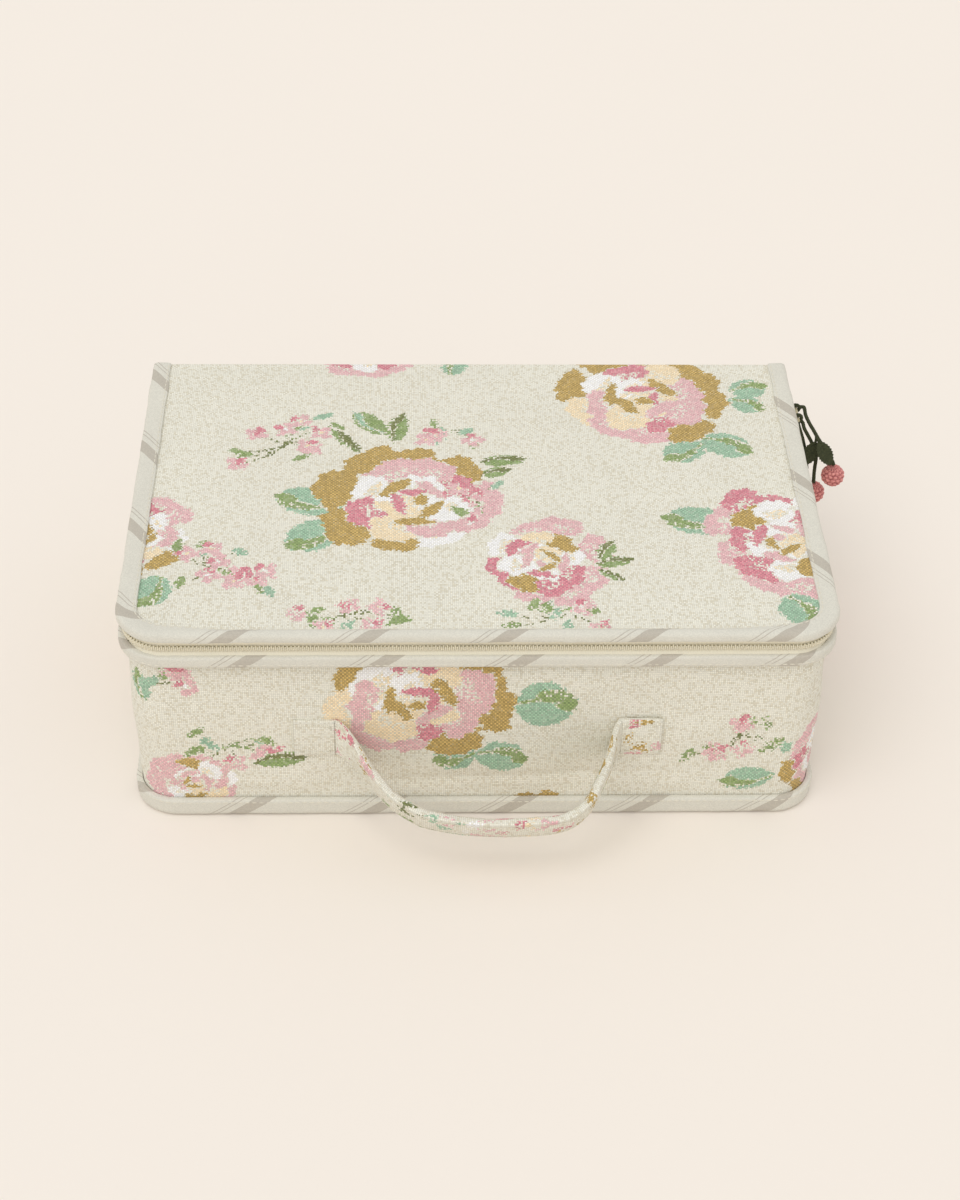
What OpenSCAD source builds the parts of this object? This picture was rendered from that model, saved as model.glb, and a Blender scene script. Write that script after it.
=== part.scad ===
// Soft child's suitcase: padded cloth walls, a zipped lid that turns on a cloth fold, bound seams,
// a sewn strap handle and a cherry charm on the zip slider. Millimetres.
// The case stands on z = 0 with its front towards -Y. The origin is the centre of its underside.

/* [Case] */
// Overall width over the bound rims
case_w = 300; // [240:1:380]
// Overall depth from the front rim to the rear fold
case_d = 200; // [160:1:260]
// Overall height to the top of the lid binding
case_h = 105; // [85:1:150]
// Plan radius of the two front corners at the rim
front_r = 20; // [16:1:30]
// Plan radius of the two rear corners of the wall
back_r = 7; // [6.5:0.5:12]

/* [Cloth layers] */
// Thickness of the woven cover cloth
cover_t = 1.4; // [1:0.1:2]
// Thickness of the wall wadding
foam_t = 3.5; // [2.5:0.1:4.2]
// Thickness of the lining
lining_t = 0.8; // [0.5:0.1:1]
// Thickness of the lid wadding
wadding_t = 2; // [1:0.1:3]
// Thickness of the lid stiffener
lid_board_t = 1.6; // [1:0.1:2.4]
// Thickness of the bottom stiffener
bottom_board_t = 2.5; // [1.5:0.1:4]

/* [Binding] */
// Thickness of the flat legs of the bias binding
leg_t = 1.2; // [0.8:0.1:1.6]
// Thickness of the rolled edge of the binding
roll_t = 2.6; // [2:0.1:3.4]
// Outer radius of the binding where it turns the lid edge
fold_r = 3; // [2.8:0.1:4]
// Width of the binding leg on top of the lid
lid_leg_w = 8.5; // [6:0.1:11]
// Height of the binding on the edge of the lid
lid_roll_h = 5.6; // [5:0.1:8]
// Height of the binding roll under the zip
wall_roll_h = 5.8; // [5:0.1:11]
// Height of the binding on the bottom edge of the wall
bottom_roll_h = 9.5; // [6:0.1:13]
// Reach of the binding leg under the case
bottom_leg_w = 7.2; // [6.4:0.1:9]

/* [Zip] */
// Width of zip that shows between the two bindings
zip_w = 6.5; // [6:0.1:9]
// Thickness of the zip tape
tape_t = 0.8; // [0.5:0.1:1.2]
// Spacing of the teeth along each tape
tooth_pitch = 3.2; // [3:0.1:5]
// Width of a tooth along the tape
tooth_w = 1.3; // [0.8:0.05:1.3]
// Thickness of a tooth
tooth_t = 1.2; // [0.8:0.1:1.5]
// Length of the slider
slider_l = 15; // [12:0.1:17]
// Distance from the rear fold to the middle of the slider at rest
slider_back = 31; // [20:0.5:45]
// Diameter of the crown bar that carries the charm
crown_bar_d = 1.5; // [1.2:0.1:2]

/* [Handle] */
// Distance between the two sewn tabs
handle_span = 120; // [90:1:150]
// Length of each sewn tab
handle_tab_l = 18; // [12:1:26]
// Width of the strap
strap_w = 20; // [14:0.5:24]
// Thickness of the strap in the loop
strap_t = 4.5; // [3:0.1:6]
// Thickness of the strap where it is sewn down
tab_t = 3; // [2:0.1:4]
// Height of the middle of the tabs above the floor
handle_z = 46; // [38:1:60]
// Length from the wall to the end of the loop
handle_drop = 39; // [25:1:42]
// Angle of the loop below level
handle_slant = 30; // [20:1:40]

/* [Charm] */
// Diameter of the crochet cord
cord_d = 1.8; // [1.4:0.1:2]
// Diameter of a cherry
cherry_d = 11; // [8:0.1:11.2]
// Length of a leaf
leaf_l = 13; // [9:0.1:14]
// Width of a leaf
leaf_w = 6.6; // [4:0.1:7]
// Thickness of a leaf
leaf_t = 1.2; // [0.8:0.1:1.4]

/* [Hidden] */
$fn = 64;
// Gap between neighbouring layers of one body
layer_gap = 0.2;
// Gap between pieces of different bodies
body_gap = 0.3;
// Overrun of cutting shapes
overrun = 1;

// Plan of the case
rear_y = case_d / 2;
front_y = -case_d / 2;
split_y = rear_y - back_r;
tape_u = roll_t + body_gap;
wall_inset = tape_u + tape_t + body_gap;
foam_in = cover_t + layer_gap;
lining_in = foam_in + foam_t + layer_gap;
floor_in = lining_in + lining_t + layer_gap;
least_r = 0.3;

// Levels of the lid and the zip
lid_face = case_h - leg_t - layer_gap;
wadding_top = lid_face - cover_t - layer_gap;
lid_board_top = wadding_top - wadding_t - layer_gap;
lid_lining_top = lid_board_top - lid_board_t - layer_gap;
lid_under = lid_lining_top - lining_t;
zip_top = case_h - lid_roll_h;
zip_mid = zip_top - zip_w / 2;
wall_top = zip_top - zip_w;
back_cover_top = lid_face - cover_t - body_gap;
back_foam_top = lid_under - body_gap;

// Levels of the bottom
wall_foot = max(leg_t, cover_t) + layer_gap;
bottom_board_foot = cover_t + layer_gap;
bottom_lining_foot = bottom_board_foot + bottom_board_t + layer_gap;
bottom_face_u = wall_inset - layer_gap - roll_t;
bottom_panel_u = bottom_face_u + bottom_leg_w + layer_gap;

// Zip chain: the teeth sit on the outer face of the tapes and cross the middle of the slot
tape_slot = 2.4;
tooth_seat = 0.1;
tooth_root = 1.2;
tooth_reach = 0.9;
tooth_shoulder = 0.5;
tooth_tip_share = 0.5;
tooth_u = tape_u - tooth_seat - tooth_t / 2;
zip_arc_r = front_r - tooth_u;
tape_end_y = split_y - layer_gap;
slider_y = rear_y - slider_back;
side_run_right = slider_y - front_y - front_r;
side_run_left = tape_end_y - front_y - front_r - tooth_pitch;
front_run = case_w - 2 * front_r;
zip_arc = zip_arc_r * PI / 2;
chain_l = side_run_right + 2 * zip_arc + front_run + side_run_left;

// Slider: two plates round the chain, a post between them and a crown bar outside
plate_t = 0.9;
slider_gap = 0.3;
slider_side_gap = 0.35;
slider_w = zip_w - 2 * slider_side_gap;
plate_out_u = tooth_u - tooth_t / 2 - slider_gap;
plate_in_u = tape_u + tape_t + layer_gap;
slider_tail_share = 0.42;
slider_tail_r = slider_w * slider_tail_share;
slider_lobe_r = 1.4;
post_w = 1.6;
post_l = 3.4;
post_y = slider_l / 4;
flange_h = 1;
flange_z = tape_slot / 2 + tooth_root + slider_gap / 2;
crown_inset = 1.2;
crown_l = slider_l - 2 * crown_inset;
crown_foot_l = 1.3;
cord_wrap_gap = 0.1;
wrap_r = crown_bar_d / 2 + cord_wrap_gap + cord_d / 2;
crown_u = plate_out_u - plate_t - body_gap - wrap_r - cord_d / 2;
crown_x = case_w / 2 - crown_u;
lid_edge_u = roll_t + layer_gap;
lid_stack_in = max(plate_in_u + plate_t + slider_gap, wall_inset + cover_t + body_gap);
stop_l = 2.4;
stop_h = 1.8;
stop_y = slider_y + slider_l / 2 + body_gap;

// Handle path from left to right: shares of the span and of the drop
handle_path_shares = [
    [-0.5, 0], [-0.485, 0.03], [-0.44, 0.16], [-0.38, 0.4], [-0.325, 0.62], [-0.265, 0.78], [-0.17, 0.92],
    [0, 1], [0.17, 1], [0.3, 0.95], [0.375, 0.79], [0.42, 0.56], [0.455, 0.32], [0.485, 0.08], [0.5, 0]
];
handle_twist_rate = 2.5;
handle_steps = 3;
edge_share = 0.25;

// Charm: the cords run from wraps on the crown bar to the cherries, in places measured from the bar
outer_wrap_y = crown_l / 2 - crown_foot_l - cord_wrap_gap - cord_d / 2;
inner_wrap_y = -outer_wrap_y;
cord_sides = 8;
cord_steps = 2;
outer_cord_route = [
    [3.7, 4, 0.6], [4.1, 2.8, 0.3], [4.5, 0.2, -1.4], [5.8, -3.8, -3], [7.5, -7.4, -4.6], [9.2, -10.4, -6.6],
    [11.8, -12.8, -9.8], [14.4, -14.4, -13.6], [16.7, -14.9, -17], [17.5, -15, -19]
];
inner_cord_route = [
    [2.6, -4, -2.6], [3.2, -6.4, -4.2], [4.8, -8.2, -6.6], [6.8, -9.2, -9.9], [8.8, -10.2, -13.6],
    [9.8, -10.4, -18], [9.9, -10.1, -24], [10.2, -9.7, -30], [10.5, -9.5, -33.4]
];
side_cord_route = [
    [0.5, -5.1, -3], [1.5, -6.8, -5.6], [2.6, -7.8, -8.6], [3.8, -8.4, -12.6], [4.9, -8.8, -17],
    [5.9, -9, -22.6], [6.7, -9.1, -28], [7.3, -9.2, -33.8]
];
outer_cherry_at = [17.8, -15, -25.1];
inner_cherry_at = [10.8, -9.4, -39.2];
leaf_upper_from = [9.2, -13.4, -6.6];
leaf_upper_to = [14.8, -17.8, -15.6];
leaf_lower_from = [8.5, -11.4, -8.4];
leaf_lower_to = [4.6, -13, -18.7];
leaf_face = [0, -0.8, 0.6];

// Outline with its own front and rear corner radii
module rounded_plan(half_w, y0, y1, rf, rb) {
    translate([-half_w, y0 + rf]) square([2 * half_w, y1 - y0 - rf - rb]);
    translate([-half_w + rf, y0]) square([2 * (half_w - rf), rf]);
    translate([-half_w + rb, y1 - rb]) square([2 * (half_w - rb), rb]);
    for (side = [-1, 1]) {
        translate([side * (half_w - rf), y0 + rf]) circle(rf);
        translate([side * (half_w - rb), y1 - rb]) circle(rb);
    }
}

// Plan of the wall, inset by t from its outer face
module wall_plan(t) {
    s = wall_inset + t;
    rounded_plan(case_w / 2 - s, front_y + s, rear_y - t, front_r - s, max(least_r, back_r - t));
}

module wall_ring(t0, t1) {
    difference() {
        wall_plan(t0);
        wall_plan(t1);
    }
}

// Everything in front of the seam between the side band and the rear panel
module before_seam() {
    intersection() {
        children();
        translate([-case_w / 2, front_y]) square([case_w, split_y - front_y - layer_gap / 2]);
    }
}

module behind_seam() {
    intersection() {
        children();
        translate([-case_w / 2, split_y + layer_gap / 2]) square([case_w, back_r + overrun]);
    }
}

module slab(z0, z1) {
    translate([0, 0, z0]) linear_extrude(z1 - z0) children();
}

// Sweeps a section along the left, front and right rims. The section's x is the inset from the rim.
module rim_sweep(end_y) {
    side_l = end_y - front_y - front_r;
    for (flip = [0, 1]) mirror([flip, 0, 0]) {
        translate([-case_w / 2, end_y, 0]) rotate([90, 0, 0]) linear_extrude(side_l) children();
        translate([-case_w / 2 + front_r, front_y + front_r, 0])
            rotate([0, 0, 180]) rotate_extrude(angle = 90)
            translate([front_r, 0]) mirror([1, 0]) children();
    }
    translate([-front_run / 2, front_y, 0]) rotate([90, 0, 90]) linear_extrude(front_run) children();
}

// Binding section folded over an edge: a roll down the face and a flat leg on top
module fold_section(face_u, leg_end, top_z, roll_h) {
    difference() {
        union() {
            translate([face_u + fold_r, top_z - fold_r]) intersection() {
                circle(fold_r);
                translate([-fold_r, 0]) square(fold_r);
            }
            translate([face_u, top_z - roll_h + roll_t / 2]) square([fold_r, roll_h - fold_r - roll_t / 2]);
            translate([face_u + fold_r, top_z - fold_r]) square([leg_end - face_u - fold_r, fold_r]);
            translate([face_u + roll_t / 2, top_z - roll_h + roll_t / 2]) circle(roll_t / 2);
        }
        translate([face_u + roll_t, top_z - roll_h])
            square([leg_end - face_u, roll_h - leg_t]);
    }
}

// Binding section rolled round a seam edge
module roll_section(z0, z1) {
    translate([0, z0 + roll_t / 2]) square([roll_t, z1 - z0 - roll_t]);
    for (z = [z0 + roll_t / 2, z1 - roll_t / 2])
        translate([roll_t / 2, z]) circle(roll_t / 2);
}

module tape_section(z0, z1) {
    translate([tape_u, z0]) square([tape_t, z1 - z0]);
}

// Place and heading on the chain at distance s from the slider, round the right, front and left
function zip_at(s) =
    let (a = s - side_run_right, b = a - zip_arc, c = b - front_run, d = c - zip_arc)
    let (corner_x = case_w / 2 - front_r, corner_y = front_y + front_r)
    a < 0 ? [case_w / 2 - tooth_u, slider_y - s, -90] :
    b < 0 ? let (turn = -90 * a / zip_arc)
        [corner_x + zip_arc_r * cos(turn), corner_y + zip_arc_r * sin(turn), turn - 90] :
    c < 0 ? [corner_x - b, front_y + tooth_u, 180] :
    d < 0 ? let (turn = -90 - 90 * c / zip_arc)
        [-corner_x + zip_arc_r * cos(turn), corner_y + zip_arc_r * sin(turn), turn - 90] :
    [-case_w / 2 + tooth_u, corner_y + d, 90];

// Row of teeth on one tape: way is 1 for the upper tape and -1 for the lower
module teeth(way, offset_s) {
    half = tooth_w / 2;
    root = tape_slot / 2 + tooth_root;
    outline = [
        [-half, root], [half, root], [half, tooth_shoulder - tooth_reach],
        [half * tooth_tip_share, -tooth_reach], [-half * tooth_tip_share, -tooth_reach],
        [-half, tooth_shoulder - tooth_reach]
    ];
    for (s = [offset_s : tooth_pitch : chain_l]) {
        at = zip_at(s);
        translate([at[0], at[1], zip_mid]) rotate([0, 0, at[2]]) rotate([90, 0, 0])
            linear_extrude(tooth_t, center = true)
            polygon([for (p = outline) [p[0], way * p[1]]]);
    }
}

// Clip on the edge of one tape that keeps the slider on
module stop_clip(way) {
    z0 = zip_mid + (way > 0 ? tape_slot / 2 : -tape_slot / 2 - stop_h);
    translate([case_w / 2 - tape_u + tooth_seat, stop_y, z0]) cube([tooth_t, stop_l, stop_h]);
}

// Outline of a slider plate: round tail to the front, two lobes at the mouth
module slider_plate() {
    tail_y = -slider_l / 2 + slider_tail_r;
    mouth_y = slider_l / 2 - slider_lobe_r;
    lobe_z = slider_w / 2 - slider_lobe_r;
    translate([tail_y, 0]) circle(slider_tail_r);
    polygon([
        [tail_y, -slider_tail_r], [mouth_y, -slider_w / 2], [mouth_y, slider_w / 2], [tail_y, slider_tail_r]
    ]);
    translate([mouth_y, -lobe_z]) square([slider_lobe_r, 2 * lobe_z]);
    for (side = [-1, 1]) translate([mouth_y, side * lobe_z]) circle(slider_lobe_r);
}

// Extrudes a y-z outline at the slider, between two insets from the right rim
module at_slider(u0, u1) {
    translate([case_w / 2 - u1, slider_y, zip_mid]) rotate([90, 0, 90]) linear_extrude(u1 - u0) children();
}

function unit(v) = v / norm(v);

// Point on a smooth curve through the points p, at segment i and fraction f
function smooth_at(p, i, f) =
    let (n = len(p) - 1)
    let (a = p[max(i - 1, 0)], b = p[i], c = p[min(i + 1, n)], d = p[min(i + 2, n)])
    (2 * b + (c - a) * f + (2 * a - 5 * b + 4 * c - d) * f * f + (3 * b - a - 3 * c + d) * f * f * f) / 2;

function smooth_path(p, steps) = concat(
    [for (i = [0 : len(p) - 2]) for (k = [0 : steps - 1]) smooth_at(p, i, k / steps)],
    [p[len(p) - 1]]
);

function tangent_at(p, i) = unit(p[min(i + 1, len(p) - 1)] - p[max(i - 1, 0)]);

// Closes rings of points into one solid
module loft(rings) {
    n = len(rings[0]);
    m = len(rings);
    points = [for (ring = rings) each ring];
    sides = [
        for (i = [0 : m - 2]) for (k = [0 : n - 1]) let (j = (k + 1) % n)
            each [[i * n + k, (i + 1) * n + k, (i + 1) * n + j], [i * n + k, (i + 1) * n + j, i * n + j]]
    ];
    first = [for (k = [0 : n - 1]) k];
    last = [for (k = [n - 1 : -1 : 0]) (m - 1) * n + k];
    polyhedron(points, concat([first], sides, [last]));
}

// Tube of the cord's diameter along a route
module cord(route) {
    path = smooth_path(route, cord_steps);
    loft([
        for (i = [0 : len(path) - 1])
            let (t = tangent_at(path, i), a = unit(cross(t, leaf_face)), b = cross(t, a))
            [for (k = [0 : cord_sides - 1]) let (turn = 360 * k / cord_sides)
                path[i] + cord_d / 2 * (a * cos(turn) + b * sin(turn))]
    ]);
}

module at_charm() {
    translate([crown_x, slider_y, zip_mid]) children();
}

// Pointed leaf from its stem end towards its tip, facing the front
module leaf(from, to) {
    along = unit(to - from);
    across = unit(cross(leaf_face, along));
    up = cross(along, across);
    arc_r = (leaf_l * leaf_l / 4 + leaf_w * leaf_w / 4) / leaf_w;
    multmatrix([
        [along[0], across[0], up[0], from[0]],
        [along[1], across[1], up[1], from[1]],
        [along[2], across[2], up[2], from[2]],
        [0, 0, 0, 1]
    ])
    linear_extrude(leaf_t, center = true)
    intersection_for(side = [-1, 1])
        translate([leaf_l / 2, side * (arc_r - leaf_w / 2)]) circle(arc_r);
}

module wrap(y) {
    translate([0, y, 0]) rotate([90, 0, 0]) rotate_extrude() translate([wrap_r, 0]) circle(cord_d / 2);
}

// Base

module wall_cover() color([0.93, 0.89, 0.8]) slab(wall_foot, wall_top) before_seam() wall_ring(0, cover_t);

module wall_foam()
    color([0.95, 0.94, 0.9])
    slab(wall_foot, wall_top) before_seam() wall_ring(foam_in, foam_in + foam_t);

module wall_lining()
    color([0.9, 0.86, 0.78])
    slab(bottom_lining_foot, wall_top) wall_ring(lining_in, lining_in + lining_t);

// Rear wall and bottom are one cloth, folded along the rear bottom edge
module back_bottom_cover() color([0.93, 0.89, 0.8]) {
    slab(0, back_cover_top) behind_seam() wall_ring(0, cover_t);
    slab(0, cover_t) {
        behind_seam() wall_plan(0);
        rounded_plan(
            case_w / 2 - bottom_panel_u, front_y + bottom_panel_u, split_y + layer_gap,
            front_r - bottom_panel_u, least_r
        );
    }
}

module back_foam()
    color([0.95, 0.94, 0.9])
    slab(wall_foot + layer_gap, back_foam_top) behind_seam() wall_ring(foam_in, foam_in + foam_t);

module bottom_board() color([0.72, 0.66, 0.55])
    slab(bottom_board_foot, bottom_board_foot + bottom_board_t) wall_plan(lining_in);

module bottom_lining() color([0.9, 0.86, 0.78])
    slab(bottom_lining_foot, bottom_lining_foot + lining_t) wall_plan(floor_in);

module wall_binding() color([0.9, 0.87, 0.8])
    rim_sweep(tape_end_y) roll_section(wall_top - wall_roll_h, wall_top);

module bottom_binding() color([0.9, 0.87, 0.8])
    rim_sweep(tape_end_y)
    mirror([0, 1]) fold_section(bottom_face_u, bottom_face_u + bottom_leg_w, 0, bottom_roll_h);

module zip_tape_lower() color([0.9, 0.88, 0.8])
    rim_sweep(tape_end_y) tape_section(wall_top - wall_roll_h + roll_t / 2, zip_mid - tape_slot / 2);

module zip_teeth_lower() color([0.88, 0.86, 0.76]) teeth(-1, tooth_pitch / 2);

module zip_stop_lower() color([0.88, 0.86, 0.76]) stop_clip(-1);

module handle_strap() color([0.92, 0.88, 0.78]) {
    wall_y = front_y + wall_inset;
    tab = handle_tab_l / handle_span;
    shares = concat([[-0.5 - tab, 0]], smooth_path(handle_path_shares, handle_steps), [[0.5 + tab, 0]]);
    out = [0, -cos(handle_slant), -sin(handle_slant)];
    lift = [for (s = shares) let (f = min(1, max(0, s[1] * handle_twist_rate))) f * f * (3 - 2 * f)];
    thick = [for (f = lift) tab_t + (strap_t - tab_t) * f];
    path = [
        for (i = [0 : len(shares) - 1])
            [shares[i][0] * handle_span, wall_y - layer_gap - thick[i] / 2, handle_z]
            + out * max(0, shares[i][1]) * handle_drop
    ];
    loft([
        for (i = [0 : len(path) - 1])
            let (tilt = handle_slant * lift[i], w = [0, -sin(tilt), cos(tilt)])
            let (n = unit(cross(tangent_at(path, i), w)), e = thick[i] * edge_share)
            let (hw = strap_w / 2, ht = thick[i] / 2)
            [for (c = [[hw, e - ht], [hw, ht - e], [hw - e, ht], [e - hw, ht],
                       [-hw, ht - e], [-hw, e - ht], [e - hw, -ht], [hw - e, -ht]])
                path[i] + w * c[0] + n * c[1]]
    ]);
}

// Lid

// Plan of the layers under the lid cloth, clear of the top of the rear wall
module lid_stack_plan() {
    rear_in = cover_t + body_gap;
    rounded_plan(
        case_w / 2 - lid_stack_in, front_y + lid_stack_in, rear_y - rear_in,
        front_r - lid_stack_in, back_r - rear_in
    );
}

// The rear top edge is rounded, where the cloth turns down into the rear wall
module lid_cover() color([0.93, 0.89, 0.8])
    difference() {
        slab(lid_face - cover_t, lid_face)
            rounded_plan(case_w / 2 - lid_edge_u, front_y + lid_edge_u, rear_y, front_r - lid_edge_u, fold_r);
        translate([-case_w / 2, rear_y - cover_t, lid_face - cover_t]) rotate([90, 0, 90])
            linear_extrude(case_w) difference() {
                square(cover_t + overrun);
                circle(cover_t);
            }
    }

module lid_wadding() color([0.95, 0.94, 0.9])
    slab(wadding_top - wadding_t, wadding_top) lid_stack_plan();

module lid_board() color([0.72, 0.66, 0.55])
    slab(lid_board_top - lid_board_t, lid_board_top) lid_stack_plan();

module lid_lining() color([0.9, 0.86, 0.78])
    slab(lid_under, lid_lining_top) lid_stack_plan();

module lid_binding() color([0.9, 0.87, 0.8])
    rim_sweep(rear_y - fold_r) fold_section(0, lid_leg_w, case_h, lid_roll_h);

module zip_tape_upper() color([0.9, 0.88, 0.8])
    rim_sweep(tape_end_y) tape_section(zip_mid + tape_slot / 2, wadding_top);

module zip_teeth_upper() color([0.88, 0.86, 0.76]) teeth(1, 0);

module zip_stop_upper() color([0.88, 0.86, 0.76]) stop_clip(1);

// Slider

module slider_body() color([0.8, 0.77, 0.62]) {
    at_slider(plate_out_u - plate_t, plate_out_u) slider_plate();
    at_slider(plate_in_u, plate_in_u + plate_t) slider_plate();
    at_slider(plate_out_u, plate_out_u + flange_h) difference() {
        slider_plate();
        square([2 * slider_l, 2 * flange_z], center = true);
    }
    at_slider(plate_out_u - layer_gap, plate_in_u + layer_gap) polygon([
        [post_y - post_l / 2, 0], [post_y, post_w / 2], [post_y + post_l / 2, 0], [post_y, -post_w / 2]
    ]);
    for (side = [-1, 1])
        at_slider(crown_u, plate_out_u - plate_t + layer_gap)
            translate([side * (crown_l - crown_foot_l) / 2, 0]) square([crown_foot_l, crown_bar_d], center = true);
    at_charm() rotate([90, 0, 0]) cylinder(d = crown_bar_d, h = crown_l, center = true);
}

// Charm

module charm_knot() color([0.16, 0.2, 0.12]) at_charm() {
    wrap(outer_wrap_y);
    wrap(inner_wrap_y);
}

module charm_cord_outer() color([0.16, 0.2, 0.12]) at_charm() cord(outer_cord_route);
module charm_cord_inner() color([0.16, 0.2, 0.12]) at_charm() cord(inner_cord_route);
module charm_cord_side() color([0.16, 0.2, 0.12]) at_charm() cord(side_cord_route);
module charm_leaf_upper() color([0.2, 0.26, 0.13]) at_charm() leaf(leaf_upper_from, leaf_upper_to);
module charm_leaf_lower() color([0.2, 0.26, 0.13]) at_charm() leaf(leaf_lower_from, leaf_lower_to);
module charm_cherry_outer() color([0.82, 0.5, 0.52]) at_charm() translate(outer_cherry_at) sphere(d = cherry_d);
module charm_cherry_inner() color([0.82, 0.5, 0.52]) at_charm() translate(inner_cherry_at) sphere(d = cherry_d);

wall_cover();
wall_foam();
wall_lining();
back_bottom_cover();
back_foam();
bottom_board();
bottom_lining();
wall_binding();
bottom_binding();
zip_tape_lower();
zip_teeth_lower();
zip_stop_lower();
handle_strap();
lid_cover();
lid_wadding();
lid_board();
lid_lining();
lid_binding();
zip_tape_upper();
zip_teeth_upper();
zip_stop_upper();
slider_body();
charm_knot();
charm_cord_outer();
charm_cord_inner();
charm_cord_side();
charm_leaf_upper();
charm_leaf_lower();
charm_cherry_outer();
charm_cherry_inner();
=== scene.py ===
import math

import bpy
import numpy as np
from mathutils import Matrix, Vector


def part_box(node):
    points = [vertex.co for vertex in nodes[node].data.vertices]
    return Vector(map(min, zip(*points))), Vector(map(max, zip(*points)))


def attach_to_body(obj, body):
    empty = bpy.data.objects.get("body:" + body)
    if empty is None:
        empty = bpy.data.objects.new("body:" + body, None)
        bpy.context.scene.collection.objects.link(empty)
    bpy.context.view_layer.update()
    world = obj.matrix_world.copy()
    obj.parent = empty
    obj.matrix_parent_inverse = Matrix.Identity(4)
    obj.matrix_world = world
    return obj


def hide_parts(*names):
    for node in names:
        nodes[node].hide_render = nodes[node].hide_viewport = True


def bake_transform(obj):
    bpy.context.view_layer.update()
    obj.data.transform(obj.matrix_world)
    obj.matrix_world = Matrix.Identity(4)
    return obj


# Soft suitcase in woven rose cloth: covers, striped bindings, zip, strap handle, cherry charm and linings.
# Lengths are metres. Places in the flat cloth, where the motifs are woven, are millimetres.

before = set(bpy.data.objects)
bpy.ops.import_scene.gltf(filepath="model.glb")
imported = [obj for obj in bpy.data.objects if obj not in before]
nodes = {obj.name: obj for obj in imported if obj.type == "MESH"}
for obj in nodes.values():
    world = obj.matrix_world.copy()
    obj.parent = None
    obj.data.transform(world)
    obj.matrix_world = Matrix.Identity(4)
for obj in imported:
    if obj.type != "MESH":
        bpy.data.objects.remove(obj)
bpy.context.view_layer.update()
MM = 0.001

# Sizes of the case, from the frame
RIM_LOW, RIM_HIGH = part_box("lid_binding")
WALL_LOW, WALL_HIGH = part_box("wall_cover")
_, LID_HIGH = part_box("lid_cover")
_, REAR_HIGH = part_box("back_bottom_cover")
ROLL_LOW, ROLL_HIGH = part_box("wall_binding")
_, FOOT_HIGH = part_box("bottom_binding")
UNDER_LOW, UNDER_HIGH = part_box("lid_lining")
FLOOR_LOW, FLOOR_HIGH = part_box("bottom_lining")
INNER_LOW, INNER_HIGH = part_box("wall_lining")
_, BACK_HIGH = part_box("back_foam")
_, TAPE_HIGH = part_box("zip_tape_lower")
_, STRAP_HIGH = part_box("handle_strap")
SLIDER_LOW, SLIDER_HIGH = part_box("slider_body")
HALF_W = RIM_HIGH.x
FRONT_Y = RIM_LOW.y
REAR_Y = REAR_HIGH.y
WALL_INSET = HALF_W - WALL_HIGH.x
LID_INSET = HALF_W - LID_HIGH.x
LID_FACE = LID_HIGH.z
SEAM_Y = WALL_HIGH.y
FRONT_R = 20 * MM
BACK_R = 7 * MM
LID_LEG_W = 8.5 * MM
FOLD_R = 2.4 * MM
LEG_TURN = 3.2 * MM
CLOTH_CELL = 1.02 * MM
LINING_CELL = 2.5 * MM


# Small tools

def ease(t):
    """Smooth step from 0 to 1."""
    t = np.clip(t, 0, 1)
    return t * t * (3 - 2 * t)


def ripple(x, y, seed, size):
    """Soft uneven field of about -1 to 1 with bumps of the given size."""
    waves = 7
    random = np.random.RandomState(seed)
    total = np.zeros(np.broadcast(x, y).shape)
    for _ in range(waves):
        angle, phase = random.uniform(0, 2 * math.pi, 2)
        rate = 2 * math.pi / (size * random.uniform(0.6, 1.6))
        total = total + np.sin(rate * (x * math.cos(angle) + y * math.sin(angle)) + phase)
    return total / math.sqrt(waves * 2)


def unit(v):
    """Directions of length 1."""
    return v / np.linalg.norm(v, axis=-1, keepdims=True)


def stack(*values):
    """Coordinates, brought to one shape, side by side."""
    return np.stack(np.broadcast_arrays(*values), -1)


def circle(sides):
    """Angles of the given number of places round a circle."""
    return np.linspace(0, 2 * math.pi, sides, endpoint=False)


def lengths_along(path):
    """Length travelled at each point of a path."""
    return np.concatenate([[0], np.cumsum(np.linalg.norm(np.diff(path, axis=0), axis=1))])


def value_at(length, travelled, values):
    """Value beside a path at the given length along it."""
    return np.array([np.interp(length, travelled, column) for column in values.T])


def swept(path, first, second, a, b):
    """Rings of points round a path, a away in the first direction and b away in the second."""
    return path[:, None, :] + first[:, None, :] * a[..., None] + second[:, None, :] * b[..., None]


def smooth_path(points, steps):
    """Curve through the points, with the given steps between neighbours."""
    p = np.asarray(points, float)
    p = np.vstack([2 * p[0] - p[1], p, 2 * p[-1] - p[-2]])
    out = []
    for i in range(1, len(p) - 2):
        for t in np.arange(steps) / steps:
            out.append(0.5 * (2 * p[i] + (p[i + 1] - p[i - 1]) * t
                              + (2 * p[i - 1] - 5 * p[i] + 4 * p[i + 1] - p[i + 2]) * t ** 2
                              + (3 * p[i] - p[i - 1] - 3 * p[i + 1] + p[i + 2]) * t ** 3))
    return np.array(out + [p[-2]])


def rim_at(s, inset):
    """Point and outward direction at length s along the left side, front and right side, from mid front."""
    r = FRONT_R - inset
    straight = HALF_W - FRONT_R
    a = np.abs(s)
    side = np.where(s < 0, -1.0, 1.0)
    turn = np.clip((a - straight) / r, 0, math.pi / 2)
    x = np.minimum(a, straight) + r * np.sin(turn)
    y = FRONT_Y + inset + r * (1 - np.cos(turn)) + np.maximum(a - straight - r * math.pi / 2, 0)
    return side * x, y, side * np.sin(turn), -np.cos(turn)


def rim_half(inset, end_y):
    """Length from mid front to end_y on either side."""
    return HALF_W - FRONT_R + (FRONT_R - inset) * math.pi / 2 + end_y - FRONT_Y - FRONT_R


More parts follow.
